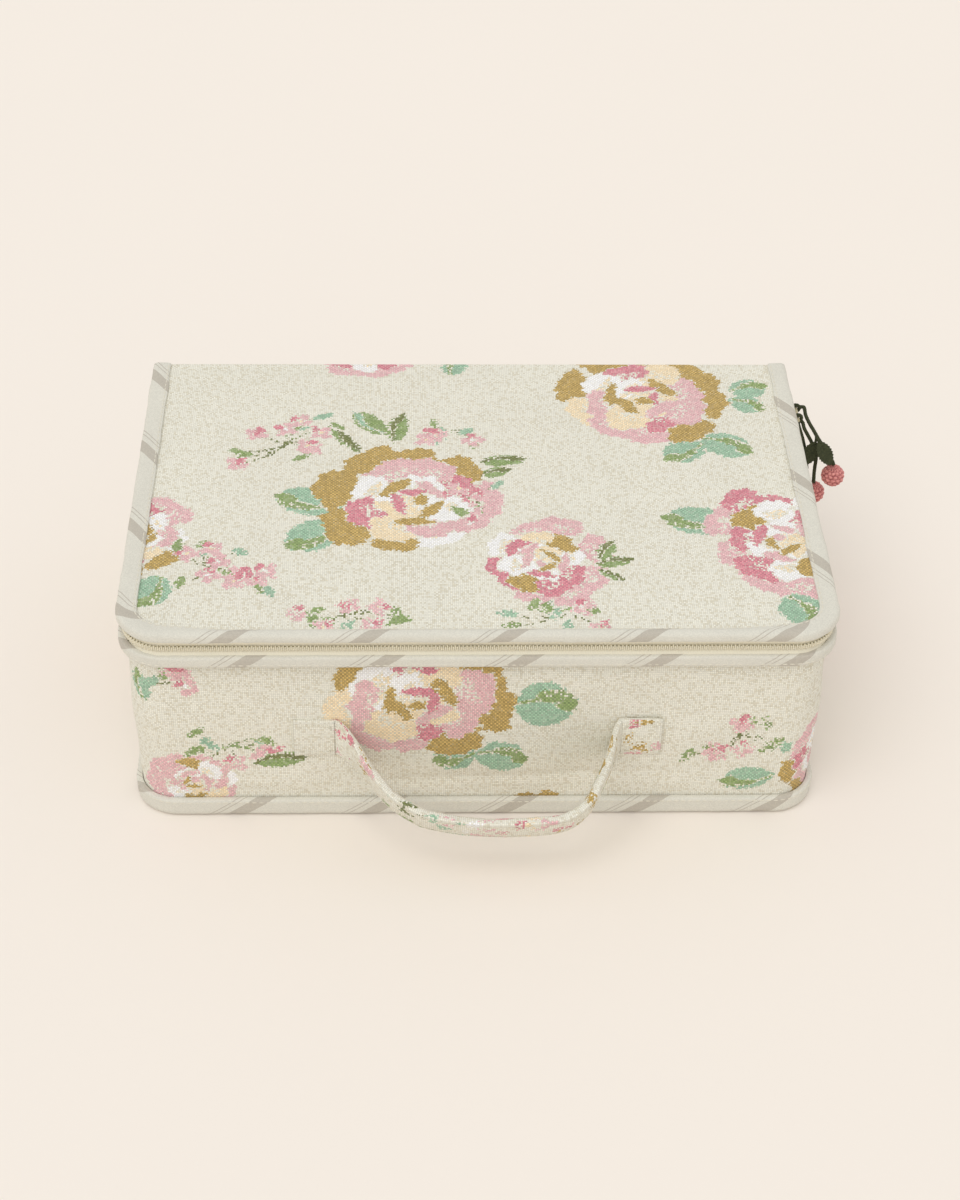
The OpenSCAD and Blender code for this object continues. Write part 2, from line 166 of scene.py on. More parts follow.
def half_width(y, inset):
    """Half width at y of the plan with two round front corners."""
    r = FRONT_R - inset
    into = np.clip(FRONT_Y + inset + r - y, 0, r)
    return HALF_W - inset - r + np.sqrt(r * r - into * into)


def sample(grid, u, v):
    """Value of a grid of heights at shares u across and v along."""
    rows, columns = grid.shape
    x = np.clip(u, 0, 1) * (columns - 1)
    y = np.clip(v, 0, 1) * (rows - 1)
    i = np.minimum(x.astype(int), columns - 2)
    j = np.minimum(y.astype(int), rows - 2)
    fx, fy = ease(x - i), ease(y - j)
    low = grid[j, i] * (1 - fx) + grid[j, i + 1] * fx
    high = grid[j + 1, i] * (1 - fx) + grid[j + 1, i + 1] * fx
    return low * (1 - fy) + high * fy


# Meshes

TONE_LAYERS = ("tones_a", "tones_b")


def grid_faces(rows, columns, closed=False):
    """Quads of a grid of points; closed joins the last column to the first."""
    r = np.arange(rows - 1)[:, None]
    c = np.arange(columns if closed else columns - 1)[None, :]
    n = (c + 1) % columns
    quads = stack(r * columns + c, r * columns + n, (r + 1) * columns + n, (r + 1) * columns + c)
    return quads.reshape(-1, 4)


def tube_faces(rows, columns, flip=False):
    """Faces of a tube of rings with both ends filled; flip turns each face over."""
    first = list(range(columns))
    last = [(rows - 1) * columns + k for k in first]
    faces = grid_faces(rows, columns, closed=True).tolist() + [first[::-1], last]
    return [face[::-1] for face in faces] if flip else faces


def make_piece(name, points, faces, material, uv=None, shares=None):
    """Mesh object with smooth faces, the flat cloth's UVs and the woven tones."""
    mesh = bpy.data.meshes.new(name)
    places = np.asarray(points, float).reshape(-1, 3).tolist()
    mesh.from_pydata(places, [], [list(map(int, f)) for f in faces])
    mesh.polygons.foreach_set("use_smooth", np.ones(len(mesh.polygons), bool))
    if uv is not None:
        corner = np.zeros(len(mesh.loops), np.int32)
        mesh.loops.foreach_get("vertex_index", corner)
        layer = mesh.uv_layers.new(name="flat")
        layer.data.foreach_set("uv", np.asarray(uv, np.float32).reshape(-1, 2)[corner].ravel())
    if shares is not None:
        for k, label in enumerate(TONE_LAYERS):
            attribute = mesh.attributes.new(label, "FLOAT_COLOR", "POINT")
            four = np.ascontiguousarray(shares[:, 4 * k:4 * k + 4], np.float32)
            attribute.data.foreach_set("color", four.ravel())
    mesh.materials.append(material)
    obj = bpy.data.objects.new(name, mesh)
    bpy.context.scene.collection.objects.link(obj)
    return obj


def attach(obj, body, slot_name, *replaced):
    """Makes a finished piece move with its body and stand for its nodes."""
    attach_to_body(obj, body)
    if replaced:
        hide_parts(*replaced)
    return obj


def cloth_piece(name, points, flat, material, motifs=None, seed=0, flip=False):
    """Piece of cloth made of a grid of points, with its motifs woven in."""
    faces = grid_faces(*points.shape[:2])
    shares = Motifs(flat[..., 0], flat[..., 1], seed).weave(motifs) if motifs else None
    return make_piece(name, points, faces[:, ::-1] if flip else faces, material, flat, shares)


def rounded_outline(corners):
    """Closed outline of (u, z, radius) corners, each turned in a curve, with points along the straights."""
    steps, spacing = 5, 1.2 * MM
    p = np.array([c[:2] for c in corners], float)
    out = []
    for i, corner in enumerate(corners):
        a, b = p[i - 1] - p[i], p[(i + 1) % len(p)] - p[i]
        la, lb = np.linalg.norm(a), np.linalg.norm(b)
        start = p[i] + a / la * min(corner[2], 0.49 * la)
        end = p[i] + b / lb * min(corner[2], 0.49 * lb)
        for t in np.linspace(0, 1, steps + 1):
            out.append((1 - t) ** 2 * start + 2 * t * (1 - t) * p[i] + t * t * end)
    dense = []
    for here, there in zip(out, out[1:] + out[:1]):
        cuts = max(1, int(np.linalg.norm(there - here) / spacing))
        dense += [here + (there - here) * k / cuts for k in range(cuts)]
    return np.array(dense)


def cloth_grid(width, height, columns, rows, seed):
    """Heights, with a peak of 1, of a cloth panel held at its edge while its filling swells."""
    slack, pressure, frames = 0.012, 1.5, 18
    first_height, bump_size = 0.4 * MM, 60 * MM
    x, y = np.meshgrid(np.linspace(0, width, columns), np.linspace(0, height, rows))
    inside = (ease(x / width * 8) * ease((width - x) / width * 8)
              * ease(y / height * 8) * ease((height - y) / height * 8))
    uneven = ripple(x, y, seed, bump_size)
    start = first_height * (1 + uneven) * inside
    panel = make_piece("swelling_panel", stack(x, y, start), grid_faces(rows, columns), bpy.data.materials[0])
    edge = [i for i in range(rows * columns)
            if i % columns in (0, columns - 1) or i // columns in (0, rows - 1)]
    panel.vertex_groups.new(name="held").add(edge, 1.0, "REPLACE")
    cloth = panel.modifiers.new("cloth", "CLOTH")
    cloth.settings.quality = 4
    cloth.settings.vertex_group_mass = "held"
    cloth.settings.use_pressure = True
    cloth.settings.uniform_pressure_force = pressure
    cloth.settings.shrink_min = -slack
    cloth.settings.effector_weights.gravity = 0
    cloth.point_cache.frame_end = frames
    scene = bpy.context.scene
    for number in range(1, frames + 1):
        scene.frame_set(number)
    moved = panel.evaluated_get(bpy.context.evaluated_depsgraph_get()).data
    z = np.array([v.co.z for v in moved.vertices]).reshape(rows, columns)
    bpy.data.objects.remove(panel)
    scene.frame_set(1)
    return np.clip(z / max(np.percentile(z, 98), 1e-6), -0.3, 1.2)


# Colours and materials

def tone(red, green, blue):
    """Linear colour of screen values from 0 to 255."""
    linear = [c / 255 / 12.92 if c <= 10 else ((c / 255 + 0.055) / 1.055) ** 2.4 for c in (red, green, blue)]
    return (*linear, 1.0)


class Shader:
    """Material whose nodes are made by short calls."""

    def __init__(self, name, roughness=0.9, sheen=0.0):
        self.material = bpy.data.materials.new(name)
        self.material.use_nodes = True
        self.tree = self.material.node_tree
        self.surface = self.tree.nodes["Principled BSDF"]
        self.surface.inputs["Roughness"].default_value = roughness
        self.surface.inputs["Specular IOR Level"].default_value = 0.25
        if sheen:
            self.surface.inputs["Sheen Weight"].default_value = sheen
            self.surface.inputs["Sheen Roughness"].default_value = 0.5

    def put(self, socket, value):
        if isinstance(value, bpy.types.NodeSocket):
            self.tree.links.new(value, socket)
        else:
            socket.default_value = value

    def node(self, kind, inputs=None, **settings):
        made = self.tree.nodes.new("ShaderNode" + kind)
        for key, value in settings.items():
            setattr(made, key, value)
        for key, value in (inputs or {}).items():
            self.put(made.inputs[key], value)
        return made

    def math(self, operation, a, b=0.0, c=0.0):
        return self.node("Math", {0: a, 1: b, 2: c}, operation=operation).outputs[0]

    def times(self, a, b):
        return self.math("MULTIPLY", a, b)

    def scale(self, value, factor, offset):
        return self.math("MULTIPLY_ADD", value, factor, offset)

    def mix(self, share, a, b, blend_type="MIX"):
        return self.node("Mix", {0: share, 6: a, 7: b}, data_type="RGBA", blend_type=blend_type).outputs[2]

    def grey(self, value):
        return self.node("CombineColor", {0: value, 1: value, 2: value}).outputs[0]

    def flat(self):
        """Both coordinates of the flat cloth."""
        split = self.node("SeparateXYZ", {0: self.node("UVMap", uv_map="flat").outputs[0]})
        return split.outputs[0], split.outputs[1]

    def noise(self, scale, detail=2.0):
        place = self.node("TexCoord").outputs["Object"]
        return self.node("TexNoise", {"Vector": place, "Scale": scale, "Detail": detail}).outputs["Fac"]

    def threads(self, x, y, width, height):
        """Plain weave: three random numbers a crossing, its rounded height, and 1 where the weft is above."""
        across, along = self.math("DIVIDE", x, width), self.math("DIVIDE", y, height)
        column, row = self.math("FLOOR", across), self.math("FLOOR", along)
        cell = self.node("CombineXYZ", {0: column, 1: row}).outputs[0]
        random = self.node("TexWhiteNoise", {"Vector": cell}, noise_dimensions="2D").outputs["Color"]
        split = self.node("SeparateColor", {0: random})
        hills = [self.math("SINE", self.times(self.math("FRACT", a), math.pi)) for a in (across, along)]
        weft = self.math("FLOORED_MODULO", self.math("ADD", column, row), 2.0)
        return (*split.outputs[:3], self.times(*hills), weft)

    def bump(self, height, distance, strength):
        made = self.node("Bump", {"Height": height, "Distance": distance, "Strength": strength})
        self.put(self.surface.inputs["Normal"], made.outputs[0])

    def colour(self, value):
        self.put(self.surface.inputs["Base Color"], value)
        return self.material

    def lit_colour(self, value, light, patch_scale, patch_depth, patch_low):
        """Colour times the light of its threads, uneven in broad patches."""
        light = self.times(light, self.scale(self.noise(patch_scale), patch_depth, patch_low))
        return self.colour(self.mix(1.0, value, self.grey(light), "MULTIPLY"))


CREAM = tone(235, 232, 218)
CREAM_SHADE = tone(222, 216, 197)
COTTON = tone(222, 219, 207)
STRIPE = tone(192, 185, 172)
TONES = {
    "white": tone(247, 246, 246), "peach": tone(243, 222, 186), "pink": tone(229, 185, 187),
    "rose": tone(216, 140, 151), "gold": tone(191, 163, 101), "teal": tone(161, 193, 166),
    "green": tone(146, 166, 110), "olive": tone(126, 132, 86),
}
TONE_NAMES = list(TONES)

# How strongly the weave shows in each tone: in the mixing of its threads with the ground, in their random
# tones and in the painted shade of the weave
TONE_DEPTHS = {
    "white": 0.1, "peach": 0.35, "pink": 0.45, "rose": 0.6,
    "gold": 1.0, "teal": 0.7, "green": 0.75, "olive": 0.8,
}


def rose_cloth_material():
    """Woven cloth: each thread takes the tone that the motifs give it, some more strongly than others, with
    painted light and shade on its rounded threads and crossings.
    """
    sh = Shader("rose_cloth", roughness=0.95, sheen=0.1)
    x, y = sh.flat()
    thread_w, thread_h = 0.85 * MM, 0.95 * MM
    low_limit, limit_range = 0.12, 0.68
    pick, shade, fleck, hill, weft = sh.threads(x, y, thread_w, thread_h)
    limit = sh.scale(pick, limit_range, low_limit)
    ground = sh.mix(sh.math("GREATER_THAN", fleck, 0.75), CREAM, CREAM_SHADE)
    toned, woven = ground, 0.0
    for k, label in enumerate(TONE_LAYERS):
        read = sh.node("Attribute", attribute_name=label)
        split = sh.node("SeparateColor", {0: read.outputs["Color"]})
        channels = [split.outputs[0], split.outputs[1], split.outputs[2], read.outputs["Alpha"]]
        for name, channel in zip(TONE_NAMES[4 * k:4 * k + 4], channels):
            hit = sh.math("GREATER_THAN", channel, limit)
            toned = sh.mix(hit, toned, TONES[name])
            woven = sh.math("MAXIMUM", woven, sh.times(hit, TONE_DEPTHS[name]))
    warp = sh.scale(fleck, 0.7, sh.scale(woven, 0.6, 0.2))
    colour = sh.mix(sh.math("MAXIMUM", weft, warp), ground, toned)
    uneven = sh.scale(woven, 0.3, 0.09)
    light = sh.scale(sh.math("SUBTRACT", shade, 0.5), uneven, 1.0)
    # Painted shade in the weave: crossings where the warp lies above are darker, more so in strongly woven
    # tones.
    depth = sh.scale(woven, 0.34, 0.05)
    light = sh.times(light, sh.scale(sh.math("SUBTRACT", weft, 0.5), depth, 0.98))
    # Painted light and shade: each thread is lighter on its rounded middle and darker towards its edges.
    light = sh.times(light, sh.scale(hill, 0.3, 0.875))
    sh.bump(hill, 0.25 * MM, 0.6)
    return sh.lit_colour(colour, light, 28.0, 0.06, 0.97)


def striped_material():
    """Bias cotton with a wide taupe stripe and two fine ones."""
    sh = Shader("striped_cotton", roughness=0.85, sheen=0.1)
    x, y = sh.flat()
    repeat, slant = 57 * MM, 1.35
    along = sh.math("FLOORED_MODULO", sh.scale(y, slant, x), repeat)
    stripes = 0.0
    for start, width in ((20 * MM, 8.6 * MM), (12.4 * MM, 0.7 * MM), (15.2 * MM, 0.7 * MM)):
        middle = sh.math("ABSOLUTE", sh.math("SUBTRACT", along, start + width / 2))
        stripes = sh.math("MAXIMUM", stripes, sh.math("LESS_THAN", middle, width / 2))
    _, shade, _, hill, _ = sh.threads(x, y, 0.5 * MM, 0.4 * MM)
    colour = sh.mix(sh.times(stripes, 0.92), COTTON, STRIPE)
    light = sh.scale(shade, 0.12, 0.925)
    sh.bump(hill, 0.08 * MM, 0.5)
    return sh.lit_colour(colour, light, 40.0, 0.1, 0.94)


def plain_cloth_material(name, colour, width, height):
    """Plain weave with uneven threads."""
    uneven = 0.1
    sh = Shader(name, roughness=0.92, sheen=0.1)
    x, y = sh.flat()
    _, shade, _, hill, _ = sh.threads(x, y, width, height)
    light = sh.scale(shade, uneven, 1 - uneven / 2)
    sh.bump(hill, 0.12 * MM, 0.5)
    return sh.lit_colour(colour, light, 30.0, 0.08, 0.96)


def speckled_material(name, light_colour, dark_colour, scale, roughness, depth, coat=0.0):
    """Mottled surface with a fine relief, for yarn, threads, board, wadding, zip and floor."""
    sh = Shader(name, roughness=roughness)
    if coat:
        sh.surface.inputs["Coat Weight"].default_value = coat
    grain = sh.noise(scale, 3.0)
    sh.bump(grain, depth, 0.6)
    return sh.colour(sh.mix(grain, dark_colour, light_colour))


def crochet_material(name, light_colour, dark_colour):
    """Yarn with painted shade in the hollows between its stitches and lighter stitch tops: the flat
    coordinate is the stitch's height.
    """
    sh = Shader(name, roughness=0.95, sheen=0.15)
    height, _ = sh.flat()
    grain = sh.noise(900.0, 3.0)
    sh.bump(grain, 0.2 * MM, 0.6)
    # Painted light and shade: the stitch's height, with a random grain, takes the dark colour in the hollows
    # and the light colour on the tops.
    share = sh.scale(grain, 0.9, sh.scale(height, 0.75, -0.3))
    return sh.colour(sh.mix(share, dark_colour, light_colour))


def ribbed_material(name, light_colour, dark_colour, pitch, depth):
    """Zip tape with fine ribs across its height, lighter on the ribs, with painted shade between them."""
    sh = Shader(name, roughness=0.85)
    place = sh.node("SeparateXYZ", {0: sh.node("TexCoord").outputs["Object"]})
    rib = sh.math("SINE", sh.times(place.outputs[2], 2 * math.pi / pitch))
    lean = sh.math("ADD", place.outputs[0], place.outputs[1])
    cross = sh.math("SINE", sh.times(lean, 2 * math.pi / pitch))
    height = sh.scale(sh.times(rib, cross), 0.5, 0.5)
    sh.bump(height, depth, 0.5)
    # Painted light and shade: the ribs' height mixes the dark colour into the troughs and the light colour
    # onto the ribs.
    return sh.colour(sh.mix(height, dark_colour, light_colour))


# Woven motifs

# Share of the threads that a tone takes, then its soft edge and the weft rows that shift it, in millimetres
FULL_COVER = 0.87
SOFT_EDGE = 0.75
WEFT_ROW = 1.02
WEFT_SHIFT = 0.8

# Petals of a rose, from the rim to the heart: angle, then distance, length and width as shares of its radius
ROSE_PETAL_SHARES = [
    (18, 0.72, 0.30, 0.22, "pink"), (58, 0.78, 0.29, 0.21, "gold"), (98, 0.80, 0.30, 0.21, "gold"),
    (140, 0.81, 0.33, 0.22, "gold"), (184, 0.80, 0.34, 0.22, "gold"), (226, 0.80, 0.32, 0.21, "gold"),
    (268, 0.76, 0.29, 0.17, "gold"), (310, 0.72, 0.30, 0.2, "white"), (346, 0.72, 0.26, 0.22, "pink"),
    (36, 0.50, 0.27, 0.21, "rose"), (80, 0.53, 0.27, 0.22, "pink"), (128, 0.54, 0.30, 0.24, "pink"),
    (176, 0.50, 0.25, 0.20, "white"), (218, 0.52, 0.28, 0.19, "rose"), (262, 0.52, 0.28, 0.20, "peach"),
    (306, 0.50, 0.30, 0.21, "pink"), (352, 0.48, 0.26, 0.22, "white"), (0, 0.0, 0.44, 0.38, "white"),
    (250, 0.24, 0.30, 0.13, "peach"), (60, 0.27, 0.22, 0.08, "pink"), (150, 0.28, 0.20, 0.08, "gold"),
    (205, 0.18, 0.20, 0.06, "rose"), (330, 0.24, 0.18, 0.07, "gold"), (285, 0.34, 0.20, 0.06, "gold"),
    (105, 0.13, 0.15, 0.06, "rose"), (20, 0.07, 0.10, 0.07, "gold"),
]
WARM_SWAP = {"white": "peach", "peach": "white"}
BLUSH_SWAP = {"gold": "pink", "pink": "rose", "rose": "gold"}
PETAL_LIGHT = {"pink": "white", "rose": "pink", "peach": "white", "white": "peach"}
BIG_PETAL_SHARE = 0.23


class Motifs:
    """Woven motifs as the share of each tone at points of the flat cloth, in millimetres."""

    def __init__(self, x, y, seed):
        self.x, self.y = np.asarray(x).ravel() / MM, np.asarray(y).ravel() / MM
        self.share = np.zeros((len(self.x), len(TONE_NAMES)))
        self.random = np.random.RandomState(seed)
        shifts = np.random.RandomState(seed + 100).uniform(-WEFT_SHIFT, WEFT_SHIFT, 1000)
        self.x = self.x + shifts[np.round(self.y / WEFT_ROW).astype(int) % len(shifts)]

    def around(self, x, y, turn, reach):
        near = np.flatnonzero((np.abs(self.x - x) < reach) & (np.abs(self.y - y) < reach))
        dx, dy = self.x[near] - x, self.y[near] - y
        c, s = math.cos(turn), math.sin(turn)
        return near, c * dx + s * dy, c * dy - s * dx

    def paint(self, near, inside, name, full=FULL_COVER):
        cover = full * ease(inside / (2 * SOFT_EDGE) + 0.5)
        self.share[near] *= (1 - cover)[:, None]
        self.share[near, TONE_NAMES.index(name)] += cover

    def oval(self, x, y, a, b, turn, name, ragged=0.09, full=FULL_COVER):
        phase = self.random.uniform(0, 2 * math.pi, 3)
        near, p, q = self.around(x, y, turn, 1.4 * max(a, b) + 2)
        angle = np.arctan2(q / b, p / a)
        edge = 1 + ragged * (np.sin(3 * angle + phase[0]) + 0.7 * np.sin(5 * angle + phase[1])
                             + 0.6 * np.sin(11 * angle + phase[2]))
        self.paint(near, (edge - np.hypot(p / a, q / b)) * min(a, b), name, full)

    def lens(self, x, y, length, width, turn, name, full=FULL_COVER):
        near, p, q = self.around(x, y, turn, length)
        bite = 0.7 * np.sin(p * 1.7 + self.random.uniform(0, 6))
        self.paint(near, width / 2 * (1 - np.abs(2 * p / length) ** 2.6) - np.abs(q) + 0.4 * bite, name, full)

    def stem(self, x0, y0, x1, y1, width, name, full):
        length = math.hypot(x1 - x0, y1 - y0)
        near, p, q = self.around((x0 + x1) / 2, (y0 + y1) / 2, math.atan2(y1 - y0, x1 - x0), length)
        bow = 0.12 * length * (1 - (2 * p / length) ** 2)
        self.paint(near, np.minimum(width / 2 - np.abs(q - bow) + 0.3, length / 2 - np.abs(p)), name, full)

    def rose(self, x, y, radius, turn, tall, swap=None):
        for angle, distance, length, width, name in ROSE_PETAL_SHARES:
            at = math.radians(angle + turn) + self.random.uniform(-0.08, 0.08)
            grow = self.random.uniform(0.9, 1.12) * radius
            px = x + math.cos(at) * distance * grow
            py = y + math.sin(at) * distance * grow * tall
            name = (swap or {}).get(name, name)
            self.oval(px, py, length * grow, width * grow, at + math.pi / 2, name)
            if name in PETAL_LIGHT and length > BIG_PETAL_SHARE:
                self.oval(px - math.cos(at) * 0.05 * grow, py - math.sin(at) * 0.05 * grow,
                          0.6 * length * grow, 0.4 * width * grow, at + math.pi / 2,
                          PETAL_LIGHT[name], ragged=0.2, full=0.45)

    def leaf(self, x, y, length, width, turn, main="teal", edge="green"):
        at = math.radians(turn)
        c, s = math.cos(at), math.sin(at)
        self.lens(x, y, length, width, at, main)
        self.lens(x + 0.12 * length * c - 0.2 * width * s, y + 0.12 * length * s + 0.2 * width * c,
                  0.62 * length, 0.3 * width, at, edge, 0.6)
        self.lens(x + 0.34 * length * c, y + 0.34 * length * s, 0.34 * length, 0.3 * width, at, edge)
        self.stem(x - 0.45 * length * c, y - 0.45 * length * s, x + 0.4 * length * c, y + 0.4 * length * s,
                  0.9, edge, 0.8)

    def sprig(self, x, y, wide, high, flowers, leaves, strength=0.8):
        random = self.random
        places = [(x + random.uniform(-0.5, 0.5) * wide, y + random.uniform(-0.5, 0.5) * high)
                  for _ in range(flowers + leaves)]
        for px, py in places:
            self.stem(x, y, px, py, 0.8, random.choice(["green", "olive"]), 0.6 * strength)
        for px, py in places[flowers:]:
            self.lens(px, py, random.uniform(8, 12), random.uniform(3.4, 5), random.uniform(0, math.pi),
                      random.choice(["green", "teal", "green"]), strength)
        for px, py in places[:flowers]:
            first = random.uniform(0, math.pi)
            for k in range(4):
                at = first + k * math.pi / 2
                self.oval(px + 2.9 * math.cos(at), py + 2.9 * math.sin(at), 2.9, 2.3, at,
                          "rose" if k == 0 else "pink", ragged=0.12, full=strength)
            self.oval(px, py, 1.4, 1.4, 0, random.choice(["white", "peach", "rose"]), 0.1, strength)

    def weave(self, motifs):
        """Weaves in a list of motifs in its order and returns the shares."""
        for kind, *values in motifs:
            {"leaf": self.leaf, "rose": self.rose, "sprig": self.sprig}[kind](*values)
        return self.share


# Motifs in millimetres of the flat cloth. A leaf has its place, length, width, turn and tones; a rose has its
# place, radius, turn, share of height and swapped tones; a sprig has its place, width, height, number of
# flowers, number of leaves and strength.
DARK_LEAF = ("green", "olive")

# Bouquets on the lid, running on over the rear fold
LID_AND_REAR_MOTIFS = [
    ("leaf", -73, -10, 32, 19, 165), ("leaf", -70, -34, 30, 20, 215),
    ("leaf", -47, 49, 24, 11, 130, "green", "teal"), ("leaf", -34, 45, 24, 9, 80, *DARK_LEAF),
    ("leaf", -58, 36, 24, 6, 128, "olive", "green"), ("sprig", -11, 42, 24, 30, 4, 5),
    ("leaf", 13, 20, 22, 8, 8, *DARK_LEAF), ("leaf", 9, 11, 14, 7, 20, *DARK_LEAF),
    ("rose", -27, -9, 40, -14, 1.06), ("sprig", 2, -12, 20, 30, 3, 2),
    ("rose", 28, -52, 27, 200, 1.1, BLUSH_SWAP), ("leaf", 55, -44, 15, 7, 60, *DARK_LEAF),
    ("leaf", 58, -52, 17, 7, 10, *DARK_LEAF), ("leaf", 56, -61, 13, 5, -40, *DARK_LEAF),
    ("sprig", 31, -86, 40, 18, 2, 8, 0.7), ("sprig", -83, 34, 46, 42, 7, 7), ("leaf", -8, 97, 18, 12, 80),
    ("rose", -48, 112, 27, 90, 1.0, {"gold": "pink", "pink": "rose"}), ("leaf", 130, 78, 20, 15, 20),
    ("leaf", 128, 65, 18, 13, -30), ("leaf", 95, 27, 24, 16, 215), ("leaf", 115, 32, 26, 18, -25),
    ("rose", 80, 70, 41, 250, 0.98, WARM_SWAP), ("leaf", 96, -24, 32, 19, 170),
    ("rose", 131, -37, 33, 100, 1.2, BLUSH_SWAP), ("leaf", 134, -83, 24, 18, -60),
    ("rose", -147, -30, 25, 40, 1.2), ("leaf", -137, -70, 22, 17, 250), ("sprig", -112, -55, 42, 34, 6, 7),
    ("sprig", -90, -64, 14, 14, 2, 1), ("sprig", -57, -86, 52, 14, 5, 7, 0.65),
    ("rose", -110, 158, 30, 10, 1.0, WARM_SWAP), ("leaf", -72, 165, 26, 15, 10),
    ("leaf", -128, 122, 24, 14, 120), ("rose", 34, 162, 32, 160, 1.0), ("leaf", 72, 172, 26, 16, -20),
    ("leaf", 0, 180, 24, 14, 210), ("sprig", -22, 145, 36, 30, 4, 5), ("sprig", 116, 150, 40, 36, 5, 6),
]

# Bouquets round the left side, front and right side
WALL_MOTIFS = [
    ("leaf", 28, 64, 28, 24, 0), ("leaf", -10, 34, 20, 16, 195), ("leaf", 10, 34, 24, 17, -10),
    ("rose", -25, 66, 41, 245, 0.78, WARM_SWAP), ("sprig", -126, 78, 22, 12, 3, 2),
    ("leaf", -142, 72, 16, 10, 100), ("sprig", -107, 40, 40, 22, 4, 6, 0.7),
    ("rose", -122, 19, 21, 60, 0.85, {"gold": "pink", "rose": "gold"}),
    ("leaf", -84, 32, 24, 8, 10, *DARK_LEAF), ("sprig", 111, 46, 44, 26, 5, 8, 0.55),
    ("leaf", 117, 20, 24, 14, 190), ("rose", 154, 26, 24, 130, 1.1), ("rose", 27, -8, 22, 20, 1.0),
    ("sprig", 205, 58, 40, 30, 5, 6), ("rose", 254, 42, 34, 300, 0.9, BLUSH_SWAP),
    ("leaf", 292, 50, 28, 17, 15), ("leaf", 222, 24, 26, 15, 205), ("sprig", 312, 24, 28, 22, 3, 4),
    ("sprig", -196, 30, 40, 34, 5, 6), ("rose", -246, 48, 34, 80, 0.9), ("leaf", -208, 62, 26, 16, 20),
    ("leaf", -286, 36, 28, 16, 190), ("sprig", -312, 62, 26, 26, 3, 4),
]

# Roses on the underside, spaced as on the lid
BOTTOM_MOTIFS = [
    ("leaf", -38, -48, 26, 15, -15), ("leaf", -118, -26, 26, 15, 170), ("rose", -80, -40, 34, 20, 1.0),
    ("leaf", 102, 22, 26, 15, -15), ("leaf", 22, 44, 26, 15, 170), ("rose", 60, 30, 34, 140, 1.0, WARM_SWAP),
    ("leaf", -8, 54, 26, 15, -15), ("leaf", -88, 76, 26, 15, 170),
    ("rose", -50, 62, 34, 260, 1.0, BLUSH_SWAP),
    ("leaf", 146, -66, 26, 15, -15), ("leaf", 66, -44, 26, 15, 170), ("rose", 104, -58, 34, 80, 1.0),
    ("sprig", -4, -14, 46, 40, 5, 7), ("sprig", -124, 30, 30, 40, 4, 5),
]

# Scraps of the motifs on the strap: place as a share of its half length, two tones
STRAP_SCRAP_SHARES = [
    (-0.76, "rose", "pink"), (-0.64, "pink", "gold"), (-0.4, "green", "teal"), (-0.3, "green", "olive"),
    (-0.18, "teal", "pink"), (-0.04, "pink", "white"), (0.1, "pink", "rose"), (0.22, "pink", "peach"),
    (0.34, "gold", "rose"), (0.5, "gold", "peach"), (0.62, "gold", "green"), (0.74, "olive", "gold"),
    (0.86, "gold", "pink"), (0.92, "pink", "rose"), (0.97, "gold", "pink"),
]


def weave_strap(cloth, length):
    """Scraps of the motifs along the strap, as the cutting left them."""
    half = length / MM / 2
    draw = cloth.random.uniform
    for share, *names in STRAP_SCRAP_SHARES:
        for k in range(7):
            cloth.oval(share * half + draw(-6, 6), draw(-15, 15), draw(1.8, 4.5), draw(1, 2), draw(-0.5, 0.5),
                       names[k % 2], ragged=0.2, full=0.7)
    return cloth.share


# Camera, light and floor

def add_camera():
    """Camera at the photograph's place: the picture is 960 by 1200 pixels."""
    azimuth, elevation, roll = (math.radians(a) for a in (-2.185, 39.935, 1.286))
    target, distance = Vector((3.244 * MM, 0, 39.882 * MM)), 1030.03 * MM
    sensor, lens, far_clip = 36, 67.195, 100
    back = Vector((math.sin(azimuth) * math.cos(elevation), -math.cos(azimuth) * math.cos(elevation),
                   math.sin(elevation)))
    level = Vector((0, 0, 1)).cross(back).normalized()
    right = level * math.cos(roll) + back.cross(level) * math.sin(roll)
    up = back.cross(right)
    data = bpy.data.cameras.new("photo_camera")
    data.sensor_width = sensor
    data.lens = lens
    data.clip_end = far_clip
    camera = bpy.data.objects.new("photo_camera", data)
    bpy.context.scene.collection.objects.link(camera)
    turned = Matrix((right, up, back)).transposed().to_4x4()
    camera.matrix_world = Matrix.Translation(target + back * distance) @ turned
    bpy.context.scene.camera = camera


BACKDROP = tone(245, 236, 225)
FLOOR_TONES = (tone(245, 237, 228), tone(243, 235, 226))
FLOOR_REACH = 40.0
SKY = (1.0, 0.99, 0.97, 1)
SKY_STRENGTH = 0.735
LAMP_ENERGY = 1.02
LAMP_ANGLE = math.radians(50)
LAMP_TURN = (math.radians(27), math.radians(-16), 0)


